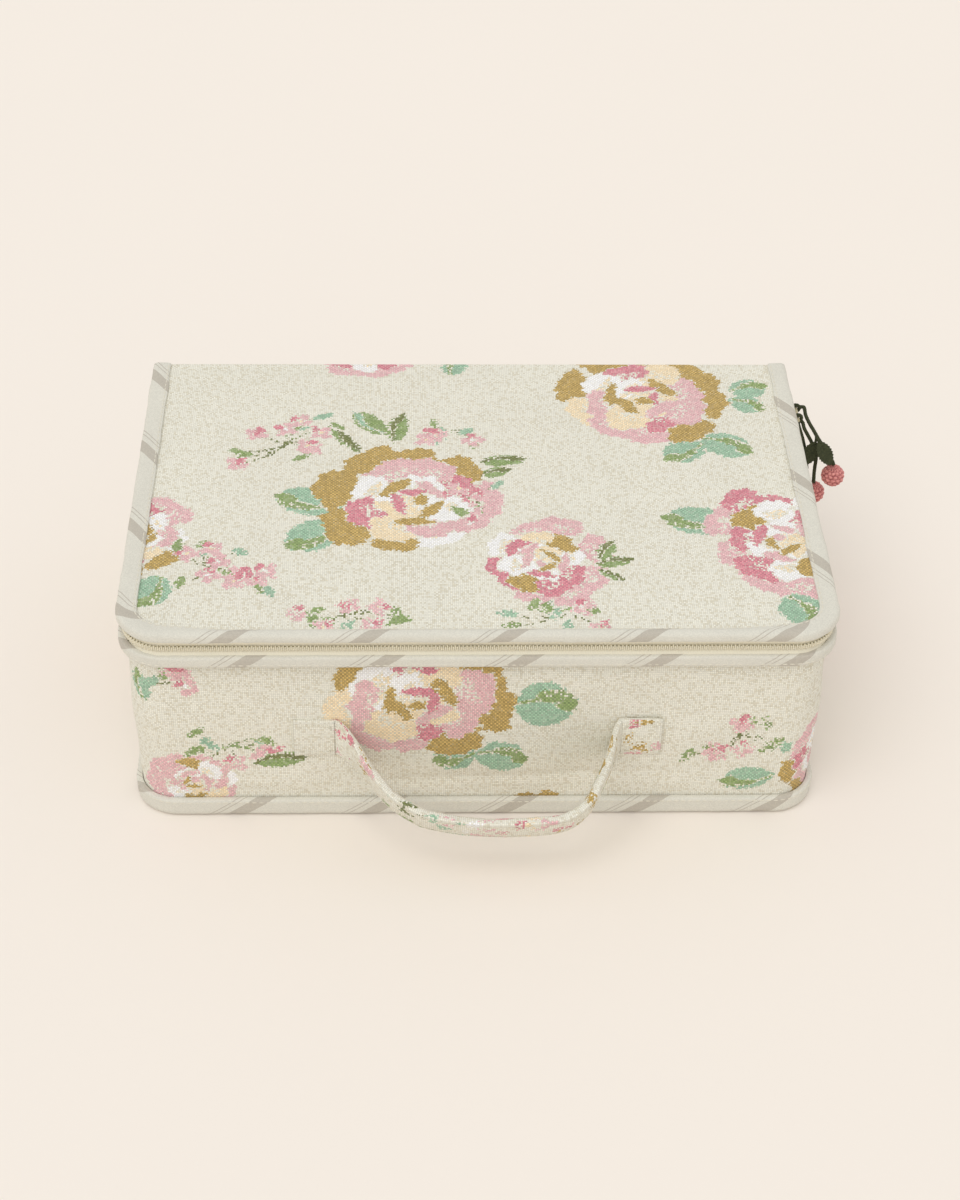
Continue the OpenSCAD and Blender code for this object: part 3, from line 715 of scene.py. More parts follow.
def add_stage():
    """Pale floor, even sky and one broad soft lamp; what is seen past the floor has the floor's colour."""
    scene = bpy.context.scene
    scene.view_settings.view_transform = "Standard"
    world = bpy.data.worlds.new("studio")
    scene.world = world
    world.use_nodes = True
    made, links = world.node_tree.nodes, world.node_tree.links
    sky = made["Background"]
    sky.inputs["Color"].default_value = SKY
    sky.inputs["Strength"].default_value = SKY_STRENGTH
    backdrop = made.new("ShaderNodeBackground")
    backdrop.inputs["Color"].default_value = BACKDROP
    rays = made.new("ShaderNodeLightPath")
    seen = rays.outputs["Is Camera Ray"]
    for kind in ("Is Glossy Ray", "Is Transmission Ray"):
        either = made.new("ShaderNodeMath")
        either.operation = "MAXIMUM"
        links.new(seen, either.inputs[0])
        links.new(rays.outputs[kind], either.inputs[1])
        seen = either.outputs[0]
    mix = made.new("ShaderNodeMixShader")
    links.new(seen, mix.inputs[0])
    links.new(sky.outputs[0], mix.inputs[1])
    links.new(backdrop.outputs[0], mix.inputs[2])
    links.new(mix.outputs[0], made["World Output"].inputs["Surface"])
    lamp = bpy.data.lights.new("soft_lamp", "SUN")
    lamp.energy = LAMP_ENERGY
    lamp.angle = LAMP_ANGLE
    lamp_object = bpy.data.objects.new("soft_lamp", lamp)
    lamp_object.rotation_euler = LAMP_TURN
    scene.collection.objects.link(lamp_object)
    corners = [(x * FLOOR_REACH, y * FLOOR_REACH, 0) for x, y in ((-1, -1), (1, -1), (1, 1), (-1, 1))]
    pale = speckled_material("pale_floor", *FLOOR_TONES, scale=3.0, roughness=0.95, depth=0.0)
    floor = make_piece("floor", corners, [(0, 1, 2, 3)], pale)


# Covers

def lid_rear_cloth(material):
    """One cloth over the lid, round the rear fold and down the rear wall."""
    foot, wrap_h = 0.6 * MM, 3.2 * MM
    tuck_in, tuck_h = 0.9 * MM, 3 * MM
    crown_h, lid_wave, lid_calm = 1.3 * MM, 0.16 * MM, 12 * MM
    bulge_h, rear_wave, rear_calm = 1.6 * MM, 0.25 * MM, 14 * MM
    start_y = FRONT_Y + LID_INSET
    lid_run = REAR_Y - FOLD_R - start_y
    arc = FOLD_R * math.pi / 2
    drop = LID_FACE - FOLD_R - foot
    rows = int((lid_run + arc + drop) / CLOTH_CELL)
    columns = int(2 * HALF_W / CLOTH_CELL)
    v = np.linspace(0, lid_run + arc + drop, rows)[:, None]
    u = np.linspace(-1, 1, columns)[None, :]
    turn = np.clip((v - lid_run) / FOLD_R, 0, math.pi / 2)
    y = start_y + np.minimum(v, lid_run) + FOLD_R * np.sin(turn)
    z = LID_FACE - FOLD_R * (1 - np.cos(turn)) - np.maximum(v - lid_run - arc, 0)
    flat_x = u * half_width(y, LID_INSET)
    straight = HALF_W - WALL_INSET - BACK_R
    a = np.abs(u) * (straight + BACK_R * math.pi / 2)
    corner = np.clip((a - straight) / BACK_R, 0, math.pi / 2)
    wrap_x = np.sign(u) * (np.minimum(a, straight) + BACK_R * np.sin(corner))
    wrap = ease((LID_FACE - z) / wrap_h)
    tuck = tuck_in * np.clip(1 - z / tuck_h, 0, 1) ** 2
    x = flat_x * (1 - wrap) + (wrap_x - np.sign(u) * np.sin(corner) * tuck) * wrap
    y = y - wrap * (BACK_R * (1 - np.cos(corner)) + np.cos(corner) * tuck)
    crown = cloth_grid(2 * HALF_W, REAR_Y - FRONT_Y, 61, 41, seed=11)
    bulge = cloth_grid(2 * HALF_W, LID_FACE, 61, 21, seed=12)
    inner_w = HALF_W - LID_LEG_W
    lid_v = (y - FRONT_Y - LID_LEG_W) / (REAR_Y - FRONT_Y - LID_LEG_W)
    on_lid = ease((lid_run - v) / lid_calm)
    up = crown_h * sample(crown, (x / inner_w + 1) / 2, lid_v + 0 * x) * on_lid
    up = up + lid_wave * ripple(x, y, 21, 40 * MM) * on_lid
    out = bulge_h * sample(bulge, (u + 1) / 2 + 0 * z, z / LID_FACE + 0 * u)
    out = (out + rear_wave * ripple(x, z, 22, 45 * MM)) * ease((LID_FACE - FOLD_R - z) / rear_calm)
    points = stack(x, y + out * (1 - np.abs(u) ** 8), z + up)
    obj = cloth_piece("lid_and_rear_cloth", points, stack(x, start_y + v), material, LID_AND_REAR_MOTIFS, 31)
    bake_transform(obj)
    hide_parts("lid_cover", "back_bottom_cover")


def wall_cloth(material):
    """Cloth round the left side, front and right side, pulled in at its bindings."""
    past_seam, end_tuck, calm = 1.6 * MM, 0.6 * MM, 9 * MM
    swell_h, wave, pucker, pucker_h = 1.5 * MM, 0.35 * MM, 0.12 * MM, 16 * MM
    crease_depth, crease_z, crease_slope, crease_w = 0.9 * MM, 21 * MM, 0.04, 2.6 * MM
    half = rim_half(WALL_INSET, SEAM_Y + past_seam)
    rows = int((WALL_HIGH.z - WALL_LOW.z) / CLOTH_CELL)
    columns = int(2 * half / CLOTH_CELL)
    s = np.linspace(-half, half, columns)[None, :]
    z = np.linspace(WALL_LOW.z, WALL_HIGH.z, rows)[:, None]
    x, y, nx, ny = rim_at(s, WALL_INSET)
    swell = cloth_grid(2 * half, WALL_HIGH.z, 141, 19, seed=13)
    held = ease((z - FOOT_HIGH.z + 1 * MM) / calm) * ease((ROLL_LOW.z + 1 * MM - z) / calm)
    up = (z - FOOT_HIGH.z) / (ROLL_LOW.z - FOOT_HIGH.z)
    out = swell_h * sample(swell, (s / half + 1) / 2 + 0 * z, up + 0 * s)
    out = out + wave * ripple(s, 2 * z, 23, 50 * MM)
    crease = np.exp(-((z - crease_z - crease_slope * s) / crease_w) ** 2)
    crease = crease * ease((85 * MM - np.abs(s - 20 * MM)) / (60 * MM))
    out = (out - crease_depth * crease) * held
    out = out + pucker * ripple(s, 0 * z, 24, 7 * MM) * ease((pucker_h - (ROLL_LOW.z - z)) / pucker_h)
    out = out - end_tuck * ease((y - SEAM_Y + 0.4 * MM) / (1.6 * MM))
    points = stack(x + nx * out, y + ny * out, z)
    obj = cloth_piece("wall_cloth", points, stack(s, z), material, WALL_MOTIFS, 32)
    attach(obj, "base", "rose_cloth", "wall_cover")


def bottom_cloth(material):
    """Underside, turned up round the rear edge to meet the rear wall."""
    lift = 0.2 * MM
    turn_r = 3 * MM
    inset = HALF_W - FOOT_HIGH.x + 6 * MM
    start_y = FRONT_Y + inset
    inside = 0.5 * MM
    run = REAR_Y - inside - turn_r - start_y
    arc = turn_r * math.pi / 2
    rows = int((run + arc) / LINING_CELL) + 4
    columns = int(2 * HALF_W / LINING_CELL)
    v = np.concatenate([np.linspace(0, run, rows - 6, endpoint=False), run + np.linspace(0, arc, 6)])[:, None]
    u = np.linspace(-1, 1, columns)[None, :]
    turn = np.clip((v - run) / turn_r, 0, math.pi / 2)
    y = start_y + np.minimum(v, run) + turn_r * np.sin(turn)
    rear = ease((y - SEAM_Y) / (2 * MM))
    width = half_width(y, inset) * (1 - rear) + (HALF_W - WALL_INSET - inside) * rear
    pull = np.clip(y - (REAR_Y - BACK_R), 0, BACK_R)
    width = width - BACK_R + np.sqrt(BACK_R ** 2 - pull ** 2)
    x = u * width
    sag = 0.3 * MM * (1 + ripple(x, y, 25, 60 * MM)) * ease(v / (20 * MM)) * ease((run - v) / (20 * MM))
    z = lift + turn_r * (1 - np.cos(turn)) + sag
    flat = stack(x, start_y + v)
    obj = cloth_piece("bottom_cloth", stack(x, y, z), flat, material, BOTTOM_MOTIFS, 33, flip=True)
    attach(obj, "base", "rose_cloth", "back_bottom_cover")


# Bindings and stitches

def stitch_rows(name, rows, material, body, slot_name, length=2.3 * MM, thick=0.28 * MM):
    """Sewn threads: each row is an array of points with the surface direction beside each point."""
    stride = 1.35 * length
    ring = circle(6)
    profile = [(-0.5, 0.25), (-0.38, 0.8), (0.0, 1.0), (0.38, 0.8), (0.5, 0.25)]
    points, faces = [], []
    for places, normals in rows:
        along = unit(np.gradient(places, axis=0))
        travelled = lengths_along(places)
        count = int(travelled[-1] / stride)
        for d in (np.arange(count) + 0.5) * travelled[-1] / max(count, 1):
            at = value_at(d, travelled, places)
            way = unit(value_at(d, travelled, along))
            out = unit(value_at(d, travelled, normals))
            side = unit(np.cross(out, way))
            base = len(points)
            for shift, fat in profile:
                for a in ring:
                    away = thick * fat * (side * math.cos(a) + out * math.sin(a))
                    points.append(at + way * shift * length + away - out * thick * 2 * shift ** 2)
            faces += (grid_faces(len(profile), len(ring), closed=True) + base).tolist()
            faces.append([base + k for k in range(len(ring))])
            faces.append([base + (len(profile) - 1) * len(ring) + k for k in range(len(ring))][::-1])
    obj = make_piece(name, points, faces, material)
    return attach(obj, body, slot_name)


def squeezed(inset, s, squeeze):
    """Inset of a leg's points, drawn towards the edge by a share along the front."""
    front = ease((HALF_W - FRONT_R + 14 * MM - np.abs(s)) / (45 * MM))
    return np.minimum(inset, LEG_TURN) + np.maximum(inset - LEG_TURN, 0) * (1 - squeeze * front)


def rim_line(inset, z, end_y, lean, squeeze=0.0):
    """Line of stitches round the rim: its points and the surface directions, leaning from up to outward."""
    spacing = 2 * MM
    half = rim_half(0, end_y)
    s = np.linspace(-half, half, int(2 * half / spacing))
    x, y, nx, ny = rim_at(s, 0)
    inset = squeezed(inset, s, squeeze)
    normals = stack(nx * lean, ny * lean, math.sqrt(max(0.0, 1 - lean * lean)))
    return stack(x - nx * inset, y - ny * inset, z), normals


def binding(name, corners, root, end_y, body, node, material, seed, squeeze=0.0):
    """Rolled bias strip swept round the rim, uneven as sewn cloth is, with its ends drawn in to its root."""
    spacing = 2.2 * MM
    turn_in = 1.5 * MM
    outline = rounded_outline([(u * MM, z, r * MM) for u, z, r in corners])
    half = rim_half(0, end_y)
    near_end = half - turn_in * np.array([0, 0.03, 0.12, 0.28, 0.5, 0.75])
    s = np.linspace(-half + turn_in, half - turn_in, int(2 * half / spacing))
    s = np.concatenate([-near_end, s, near_end[::-1]])[:, None]
    x, y, nx, ny = rim_at(s, 0)
    middle = outline.mean(0)
    swell = 1 + 0.05 * ripple(s, 0 * s, seed, 24 * MM)
    around = np.arctan2(outline[:, 1] - middle[1], outline[:, 0] - middle[0])[None, :]
    pucker = 0.09 * MM * ripple(s, around * 4 * MM, seed + 1, 6 * MM)
    inset = middle[0] + (outline[None, :, 0] - middle[0]) * swell + pucker * np.cos(around)
    inset = squeezed(inset, s, squeeze)
    height = outline[None, :, 1] + pucker * np.sin(around)
    drawn = 0.12 + 0.88 * np.sqrt(1 - np.clip(1 - (half - np.abs(s)) / turn_in, 0, 1) ** 2)
    inset = root[0] * MM + (inset - root[0] * MM) * drawn
    height = root[1] + (height - root[1]) * drawn
    points = stack(x - nx * inset, y - ny * inset, height)
    flat = stack(s, lengths_along(outline)[None, :])
    obj = make_piece(name, points, tube_faces(len(s), len(outline)), material, flat)
    return attach(obj, body, "striped_binding", node)


# Section of a zip tape, in millimetres: inset at the sides, inset along the front, height from mid chain
TAPE_SECTION = [
    (3.3, 1.3, 7.0), (3.3, 1.3, 5.4), (3.3, 1.3, 4.4), (3.3, 1.55, 3.6), (3.3, 1.95, 2.9), (3.25, 2.4, 2.2),
    (3.05, 2.75, 1.6), (2.95, 2.93, 1.0), (2.93, 2.93, 0.4), (3.1, 3.1, 0.06), (3.45, 3.45, 0.1),
    (3.6, 3.6, 0.5),
]
ZIP_Z = (ROLL_HIGH.z + RIM_LOW.z) / 2


def zip_tape(name, way, body, node, material):
    """Woven zip tape: its edge meets the other tape, apart from where the slider keeps them open."""
    past_end, end_tuck = 2.2 * MM, 1.1 * MM
    opening, half_gap = 5 * MM, 0.9 * MM
    half = rim_half(0, TAPE_HIGH.y + past_end)
    s = np.linspace(-half, half, int(half / MM))[:, None]
    x, y, nx, ny = rim_at(s, 0)
    apart = ease((y - SLIDER_LOW.y + opening) / opening) * (x > 0)
    front = ease((HALF_W + 8 * MM - np.abs(s)) / (28 * MM))
    side_inset, front_inset, height = (np.array(values)[None, :] * MM for values in zip(*TAPE_SECTION))
    inset = side_inset + (front_inset - side_inset) * front
    inset = inset + end_tuck * ease((y - TAPE_HIGH.y + 1 * MM) / (3 * MM))
    z = ZIP_Z + way * np.maximum(height, half_gap * apart)
    points = stack(x - nx * inset, y - ny * inset, z)
    faces = grid_faces(*points.shape[:2])
    return attach(make_piece(name, points, faces, material), body, "zip_tape", node)


# One tooth of the chain, in millimetres: reach past the chain's middle, half width along it, half depth
TOOTH_SECTION = [(-1.42, 0.2, 0.3), (-1.35, 0.33, 0.5), (-0.5, 0.33, 0.55), (0.2, 0.36, 0.6),
                 (0.62, 0.38, 0.55), (0.8, 0.24, 0.34)]


def zip_chain(name, way, shift, body, node, material):
    """One side of the chain: fine rounded teeth from the left end of the tape to the slider."""
    pitch, inset = 1.6 * MM, 2.2 * MM
    start = -rim_half(inset, TAPE_HIGH.y - 3 * MM) + shift * pitch
    end = rim_half(inset, (SLIDER_LOW.y + SLIDER_HIGH.y) / 2)
    s = np.arange(start, end, pitch)
    x, y, nx, ny = (a[:, None, None] for a in rim_at(s, inset))
    ring = circle(8)
    height, half_w, half_t = (np.array(values)[:, None] * MM for values in zip(*TOOTH_SECTION))
    along, out = half_w * np.cos(ring), half_t * np.sin(ring)
    points = stack(x + nx * out - ny * along, y + ny * out + nx * along, ZIP_Z - way * height)
    tooth = tube_faces(len(height), len(ring), flip=way > 0)
    faces = [[k + i * len(height) * len(ring) for k in face] for i in range(len(s)) for face in tooth]
    return attach(make_piece(name, points, faces, material), body, "zip_teeth", node)


# Handle: its path, as shares of the span between its tabs and of its drop

HANDLE_PATH_SHARES = [
    (-0.5, 0), (-0.485, 0.03), (-0.44, 0.16), (-0.38, 0.4), (-0.325, 0.62), (-0.265, 0.78), (-0.17, 0.92),
    (0, 1), (0.17, 1), (0.3, 0.95), (0.375, 0.79), (0.42, 0.56), (0.455, 0.32), (0.485, 0.08), (0.5, 0),
]


def handle(material, thread):
    """Sewn strap: two tabs on the front wall and a loop that hangs forward."""
    span, drop, slant = 120 * MM, 39 * MM, math.radians(30)
    width, loop_t, tab_t, gap = 20 * MM, 4.5 * MM, 3 * MM, 0.2 * MM
    wall_y = FRONT_Y + WALL_INSET
    middle_z = STRAP_HIGH.z - width / 2
    tab = (STRAP_HIGH.x - span / 2) / span
    shares = smooth_path(HANDLE_PATH_SHARES, 8)
    ends = np.linspace(tab, 0, 12, endpoint=False)[:, None] * [1, 0]
    shares = np.vstack([[-0.5, 0] - ends, shares, ([0.5, 0] + ends)[::-1]])
    lift = ease(shares[:, 1] * 2.5)
    thick = tab_t + (loop_t - tab_t) * lift
    path = stack(shares[:, 0] * span, wall_y - gap - thick / 2, middle_z)
    path = path + np.maximum(0, shares[:, 1:]) * drop * np.array([0, -math.cos(slant), -math.sin(slant)])
    tilt = slant * lift
    across = stack(0.0, -np.sin(tilt), np.cos(tilt))
    along = unit(np.gradient(path, axis=0))
    front = unit(np.cross(along, across))
    ring = circle(40)
    wide = np.sign(np.cos(ring)) * np.abs(np.cos(ring)) ** 0.35
    deep = np.sign(np.sin(ring)) * np.abs(np.sin(ring)) ** 0.7
    travelled = lengths_along(path)
    uneven = 1 + 0.05 * ripple(travelled[:, None], ring[None, :] * 6 * MM, 41, 14 * MM)
    seam = 1 - 0.22 * np.exp(-((np.abs(wide) - 0.72) / 0.07) ** 2)
    depth = deep * seam * (thick / 2)[:, None]
    points = swept(path, across, front, wide * width / 2 * uneven, depth * uneven)
    flat = stack((travelled - travelled[-1] / 2)[:, None], (wide * width / 2 + deep * loop_t)[None, :])
    shares_of_tone = weave_strap(Motifs(flat[..., 0], flat[..., 1], 34), travelled[-1])
    faces = tube_faces(*points.shape[:2], flip=True)
    obj = make_piece("strap_handle", points, faces, material, flat, shares_of_tone)
    attach(obj, "base", "rose_cloth", "handle_strap")
    sewn = []
    keep = np.abs(shares[:, 0]) < 0.5
    half_l, half_h = tab * span / 2 - 2.2 * MM, width / 2 - 2.4 * MM
    corners = np.array([(-1, -1), (1, -1), (1, 1), (-1, 1)], float)
    steps = np.linspace(0, 1, 9)[:, None]
    for side in (-1, 1):
        for face in (-1, 1):
            line = path + across * (0.74 * width / 2 * side) + front * (face * thick * 0.42)[:, None]
            sewn.append((line[keep], front[keep] * face))
        middle_x = side * (span / 2 + tab * span / 2)
        for a, b in ((0, 1), (1, 2), (2, 3), (3, 0), (0, 2), (1, 3)):
            flat_line = corners[a] + (corners[b] - corners[a]) * steps
            line = stack(middle_x + flat_line[:, 0] * half_l, wall_y - gap - tab_t - 0.02 * MM,
                         middle_z + flat_line[:, 1] * half_h)
            sewn.append((line, np.tile([0.0, -1.0, 0.0], (len(line), 1))))
    stitch_rows("handle_stitches", sewn, thread, "base", "rose_cloth", 1.9 * MM, 0.22 * MM)


# Zip charm: places from the crown bar, in millimetres

KNOT_LOW, KNOT_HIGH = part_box("charm_knot")
CHARM_AT = np.array((KNOT_LOW + KNOT_HIGH) / 2)
WRAP_Y = 4 * MM
CORD_ROUTES = {}
CORD_ROUTES["crochet_outer"] = [
    (1.6, 4, 0.7), (3.7, 4, 0.6), (4.1, 2.8, 0.3), (4.5, 0.2, -1.4), (5.8, -3.8, -3), (7.5, -7.4, -4.6),
    (9.2, -10.4, -6.6), (11.8, -12.8, -9.8), (14.4, -14.4, -13.6), (16.7, -14.9, -17), (17.5, -15, -19),
]
CORD_ROUTES["crochet_inner"] = [
    (1.1, -4, -1.4), (2.6, -4, -2.6), (3.2, -6.4, -4.2), (4.8, -8.2, -6.6), (6.8, -9.2, -9.9),
    (8.8, -10.2, -13.6), (9.8, -10.4, -18), (9.9, -10.1, -24), (10.2, -9.7, -30), (10.5, -9.5, -33.4),
]
CORD_ROUTES["crochet_side"] = [
    (0.3, -4.2, -1.7), (0.5, -5.1, -3), (1.5, -6.8, -5.6), (2.6, -7.8, -8.6), (3.8, -8.4, -12.6),
    (4.9, -8.8, -17), (5.9, -9, -22.6), (6.7, -9.1, -28), (7.3, -9.2, -33.8),
]
# Leaves: start, end, and where the stalk leaves its cord
LEAF_UPPER = ((9.2, -13.4, -6.6), (14.8, -17.8, -15.6), (8.2, -8.8, -5.5))
LEAF_LOWER = ((8.5, -11.4, -8.4), (4.6, -13, -18.7), (8.6, -9.6, -6))
LEAF_FACE = np.array([0, -0.8, 0.6])
CORD_D = 1.8 * MM


def twisted_tube(path, radius, strands, lay, sides=18):
    """Points of a twisted cord, whose strands show as winding lobes, and the lengths along its path."""
    along = unit(np.gradient(path, axis=0))
    first = unit(np.cross(along, LEAF_FACE))
    second = np.cross(along, first)
    travelled = lengths_along(path)
    ring = circle(sides)[None, :]
    wind = 2 * math.pi * travelled[:, None] / lay
    lobe = 0.86 + 0.2 * np.abs(np.cos(strands / 2 * (ring - wind))) ** 0.8
    lobe = lobe * (1 + 0.05 * np.sin(wind * strands * 2 + 3 * ring))
    lobe = radius * lobe
    return swept(path, first, second, lobe * np.cos(ring), lobe * np.sin(ring)), travelled


def charm_cord(name, route, material):
    """Crochet cord along its route, from the crown bar to its end."""
    path = CHARM_AT + smooth_path(route, 14) * MM
    points, travelled = twisted_tube(path, CORD_D / 2 * 0.94, 3, 2.6 * MM)
    obj = make_piece(name, points, tube_faces(*points.shape[:2], flip=True), material)
    attach(obj, "charm", "charm_cord", name.replace("crochet", "charm_cord"))


def charm_wraps(material):
    """Turns of the cord round the crown bar."""
    points, faces = [], []
    wrap_r = 1.75 * MM
    turn = np.linspace(0, 2 * math.pi, 61)
    ring = circle(18)
    out = stack(np.cos(turn), 0.0, np.sin(turn))
    side = np.cross(stack(-np.sin(turn), 0.0, np.cos(turn)), out)
    lobe = 0.84 * MM * (0.9 + 0.14 * np.abs(np.cos(1.5 * (ring[None, :] - 4 * turn[:, None]))))
    for place in (WRAP_Y, -WRAP_Y):
        path = CHARM_AT + stack(wrap_r * np.cos(turn), place, wrap_r * np.sin(turn))
        rings = swept(path, out, side, lobe * np.cos(ring), lobe * np.sin(ring))
        faces += (grid_faces(len(turn), len(ring), closed=True) + len(points)).tolist()
        points += rings.reshape(-1, 3).tolist()
    return attach(make_piece("crochet_wraps", points, faces, material), "charm", "charm_cord", "charm_knot")


def charm_leaf(name, start, end, stalk_at, material, node):
    """Crochet leaf on a short stalk from its cord: slanted rows of stitches on both sides of a midrib."""
    start, end, stalk_at = (CHARM_AT + np.array(place) * MM for place in (start, end, stalk_at))
    along = unit(end - start)
    across = unit(np.cross(LEAF_FACE, along))
    up = np.cross(along, across)
    length, width, thick = 13 * MM, 6.6 * MM, 1.2 * MM
    p = np.linspace(0.01, 0.99, 70)[:, None]
    ring = circle(44)[None, :]
    half = width / 2 * (1 - (2 * p - 1) ** 2) ** 0.8 + 0.25 * MM
    q = np.sign(np.cos(ring)) * np.abs(np.cos(ring)) ** 0.8
    rows_of_stitches = 0.5 + 0.5 * np.sin(2 * math.pi * (p * 9 - np.abs(q) * 1.6))
    midrib = np.exp(-(q / 0.12) ** 2)
    relief = 0.75 + 0.3 * rows_of_stitches - 0.25 * midrib
    depth = np.sin(ring) * thick / 2 * relief
    cup = 0.6 * MM * (q ** 2 - 0.3) * np.sin(math.pi * p)
    frill = 1 + 0.07 * np.sin(2 * math.pi * p * 9)
    points = (start + along * (p * length)[..., None] + across * (half * q * frill)[..., None]
              + up * (depth + cup)[..., None])
    bend = (start + stalk_at) / 2 - np.array([0, 0, 0.3 * MM])
    stalk_path = smooth_path([stalk_at, bend, start + along * 0.6 * MM], 8)
    stalk, _ = twisted_tube(stalk_path, 0.62 * MM, 2, 2.2 * MM, sides=12)
    faces = tube_faces(*points.shape[:2])
    points = points.reshape(-1, 3)
    faces += [[k + len(points) for k in face] for face in tube_faces(*stalk.shape[:2], flip=True)]
    points = np.vstack([points, stalk.reshape(-1, 3)])
    return attach(make_piece(name, points, faces, material), "charm", "charm_leaf", node)


def charm_cherry(name, node, material):
    """Crochet ball: rounds of stitches, each a small V, drawn in at both poles."""
    low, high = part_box(node)
    centre, radius = (low + high) / 2, (high.x - low.x) / 2
    rounds, stitches = 9, 13
    lat = np.linspace(0.03, math.pi - 0.03, 100)[:, None]
    lon = circle(150)[None, :]
    level = lat / math.pi * rounds
    into = level - np.floor(level)
    lean = 0.5 * np.floor(level) + 0.35 * np.abs(into - 0.5)
    leg = np.abs(np.sin(math.pi * (stitches * lon / (2 * math.pi) + lean)))
    puff = leg ** 0.6 * np.sin(math.pi * into) ** 0.5
    puff = np.clip(puff + 0.25 * ripple(lat + 0 * lon, lon * np.sin(lat), 61, 0.7), 0, 1)
    ball = radius * (0.86 + 0.15 * puff * np.sin(lat) ** 0.3)
    girth = ball * np.sin(lat)
    points = stack(centre.x + girth * np.cos(lon), centre.y + girth * np.sin(lon),
                   centre.z + ball * np.cos(lat))
    faces = tube_faces(*points.shape[:2], flip=True)
    # The stitches' puff goes in as the flat coordinate, for the painted shade in their hollows.
    return attach(make_piece(name, points, faces, material, stack(puff, lat)), "charm", "charm_cherry", node)


# Linings

def lid_lining_cloth(material):
    """Lining under the lid, turned up to the zip tape at its edge."""
    edge = HALF_W - TAPE_HIGH.x + 0.9 * MM
    start_y, end_y = FRONT_Y + edge, UNDER_HIGH.y
    rows, columns = int((end_y - start_y) / LINING_CELL), int(2 * HALF_W / LINING_CELL)
    y = np.linspace(start_y, end_y, rows)[:, None]
    u = np.linspace(-1, 1, columns)[None, :]
    u = np.sign(u) * (1 - (1 - np.abs(u)) ** 1.15)
    x = u * half_width(y, edge)
    inner = np.minimum((1 - np.abs(u)) * half_width(y, edge), y - start_y)
    z = UNDER_LOW.z + 0.4 * MM + 2.4 * MM * (1 - ease(inner / (2.6 * MM)))
    z = z + 0.25 * MM * ripple(x, y, 26, 50 * MM) * ease(inner / (15 * MM))
    obj = cloth_piece("lid_lining_cloth", stack(x, y, z), stack(x, y), material, flip=True)
    attach(obj, "lid", "lining", "lid_lining")


def inner_loop(count):
    """Points, outward directions and lengths round the inside of the wall."""
    lining_t, front_r, rear_r = 0.8 * MM, 9.9 * MM, 1.5 * MM
    half_x, low_y, high_y = INNER_HIGH.x - lining_t, INNER_LOW.y + lining_t, INNER_HIGH.y - lining_t
    corners = ((half_x - rear_r, high_y - rear_r, rear_r, 90),
               (-half_x + rear_r, high_y - rear_r, rear_r, 180),
               (-half_x + front_r, low_y + front_r, front_r, 270),
               (half_x - front_r, low_y + front_r, front_r, 360))
    places = []
    for x, y, r, end in corners:
        for a in np.radians(np.linspace(end - 90, end, 8)):
            places.append((x + r * math.cos(a), y + r * math.sin(a), math.cos(a), math.sin(a)))
    places = np.array(places + places[:1])
    travelled = lengths_along(places[:, :2])
    s = np.linspace(0, travelled[-1], count)
    x, y, nx, ny = (np.interp(s, travelled, places[:, k]) for k in range(4))
    size = np.hypot(nx, ny)
    return x, y, nx / size, ny / size, s


def wall_lining_cloth(material):
    """Lining round the inside of the wall, rolled over the padded edge behind the zip."""
    x, y, nx, ny, s = (a[None, :] for a in inner_loop(count=380))
    rear = ease((ny - 0.2) / 0.6)
    top = (UNDER_LOW.z - 0.7 * MM) * (1 - rear) + (BACK_HIGH.z + 0.1 * MM) * rear
    reach = 4.6 * MM - 0.2 * MM * rear
    roll = 2.3 * MM - 1.8 * MM * rear
    low = FLOOR_HIGH.z - 0.3 * MM
    end = INNER_HIGH.z + 0.2 * MM + (top - roll - INNER_HIGH.z - 0.65 * MM) * rear
    t = np.linspace(0, 1, 34)[:, None]
    bend = np.linspace(0, math.pi, 15)[1:, None]
    down = np.linspace(0, 1, 4)[1:, None]
    z = np.concatenate([low + (top - roll - low) * t, top - roll + roll * np.sin(bend),
                        top - roll + (end - top + roll) * down])
    out = np.concatenate([0 * t * s, reach / 2 * (1 - np.cos(bend)), reach + 0 * down * s])
    wave = 0.5 * MM * ripple(s, 2 * z, 27, 60 * MM) - 0.3 * MM
    inside = ease((top - roll - z) / (8 * MM)) * ease((z - low) / (8 * MM)) * (out == 0)
    out = out + np.minimum(wave, 0.15 * MM) * inside
    points = stack(x + nx * out, y + ny * out, z)
    obj = cloth_piece("wall_lining_cloth", points, stack(s, z + out), material)
    attach(obj, "base", "lining", "wall_lining")


def bottom_lining_cloth(material):
    """Lining on the floor of the case, slightly slack."""
    half_x, low_y, high_y = FLOOR_HIGH.x, FLOOR_LOW.y, FLOOR_HIGH.y
    rows, columns = int((high_y - low_y) / LINING_CELL), int(2 * half_x / LINING_CELL)
    y = np.linspace(low_y, high_y, rows)[:, None]
    u = np.linspace(-1, 1, columns)[None, :]
    r = 9 * MM
    into = np.clip(low_y + r - y, 0, r)
    x = u * (half_x - r + np.sqrt(r * r - into * into))
    z = FLOOR_HIGH.z + 0.2 * MM + 0.5 * MM * (1 + ripple(x, y, 28, 70 * MM)) * ease((1 - np.abs(u)) * 8)
    obj = cloth_piece("bottom_lining_cloth", stack(x, y, z), stack(x, y), material)
    attach(obj, "base", "lining", "bottom_lining")


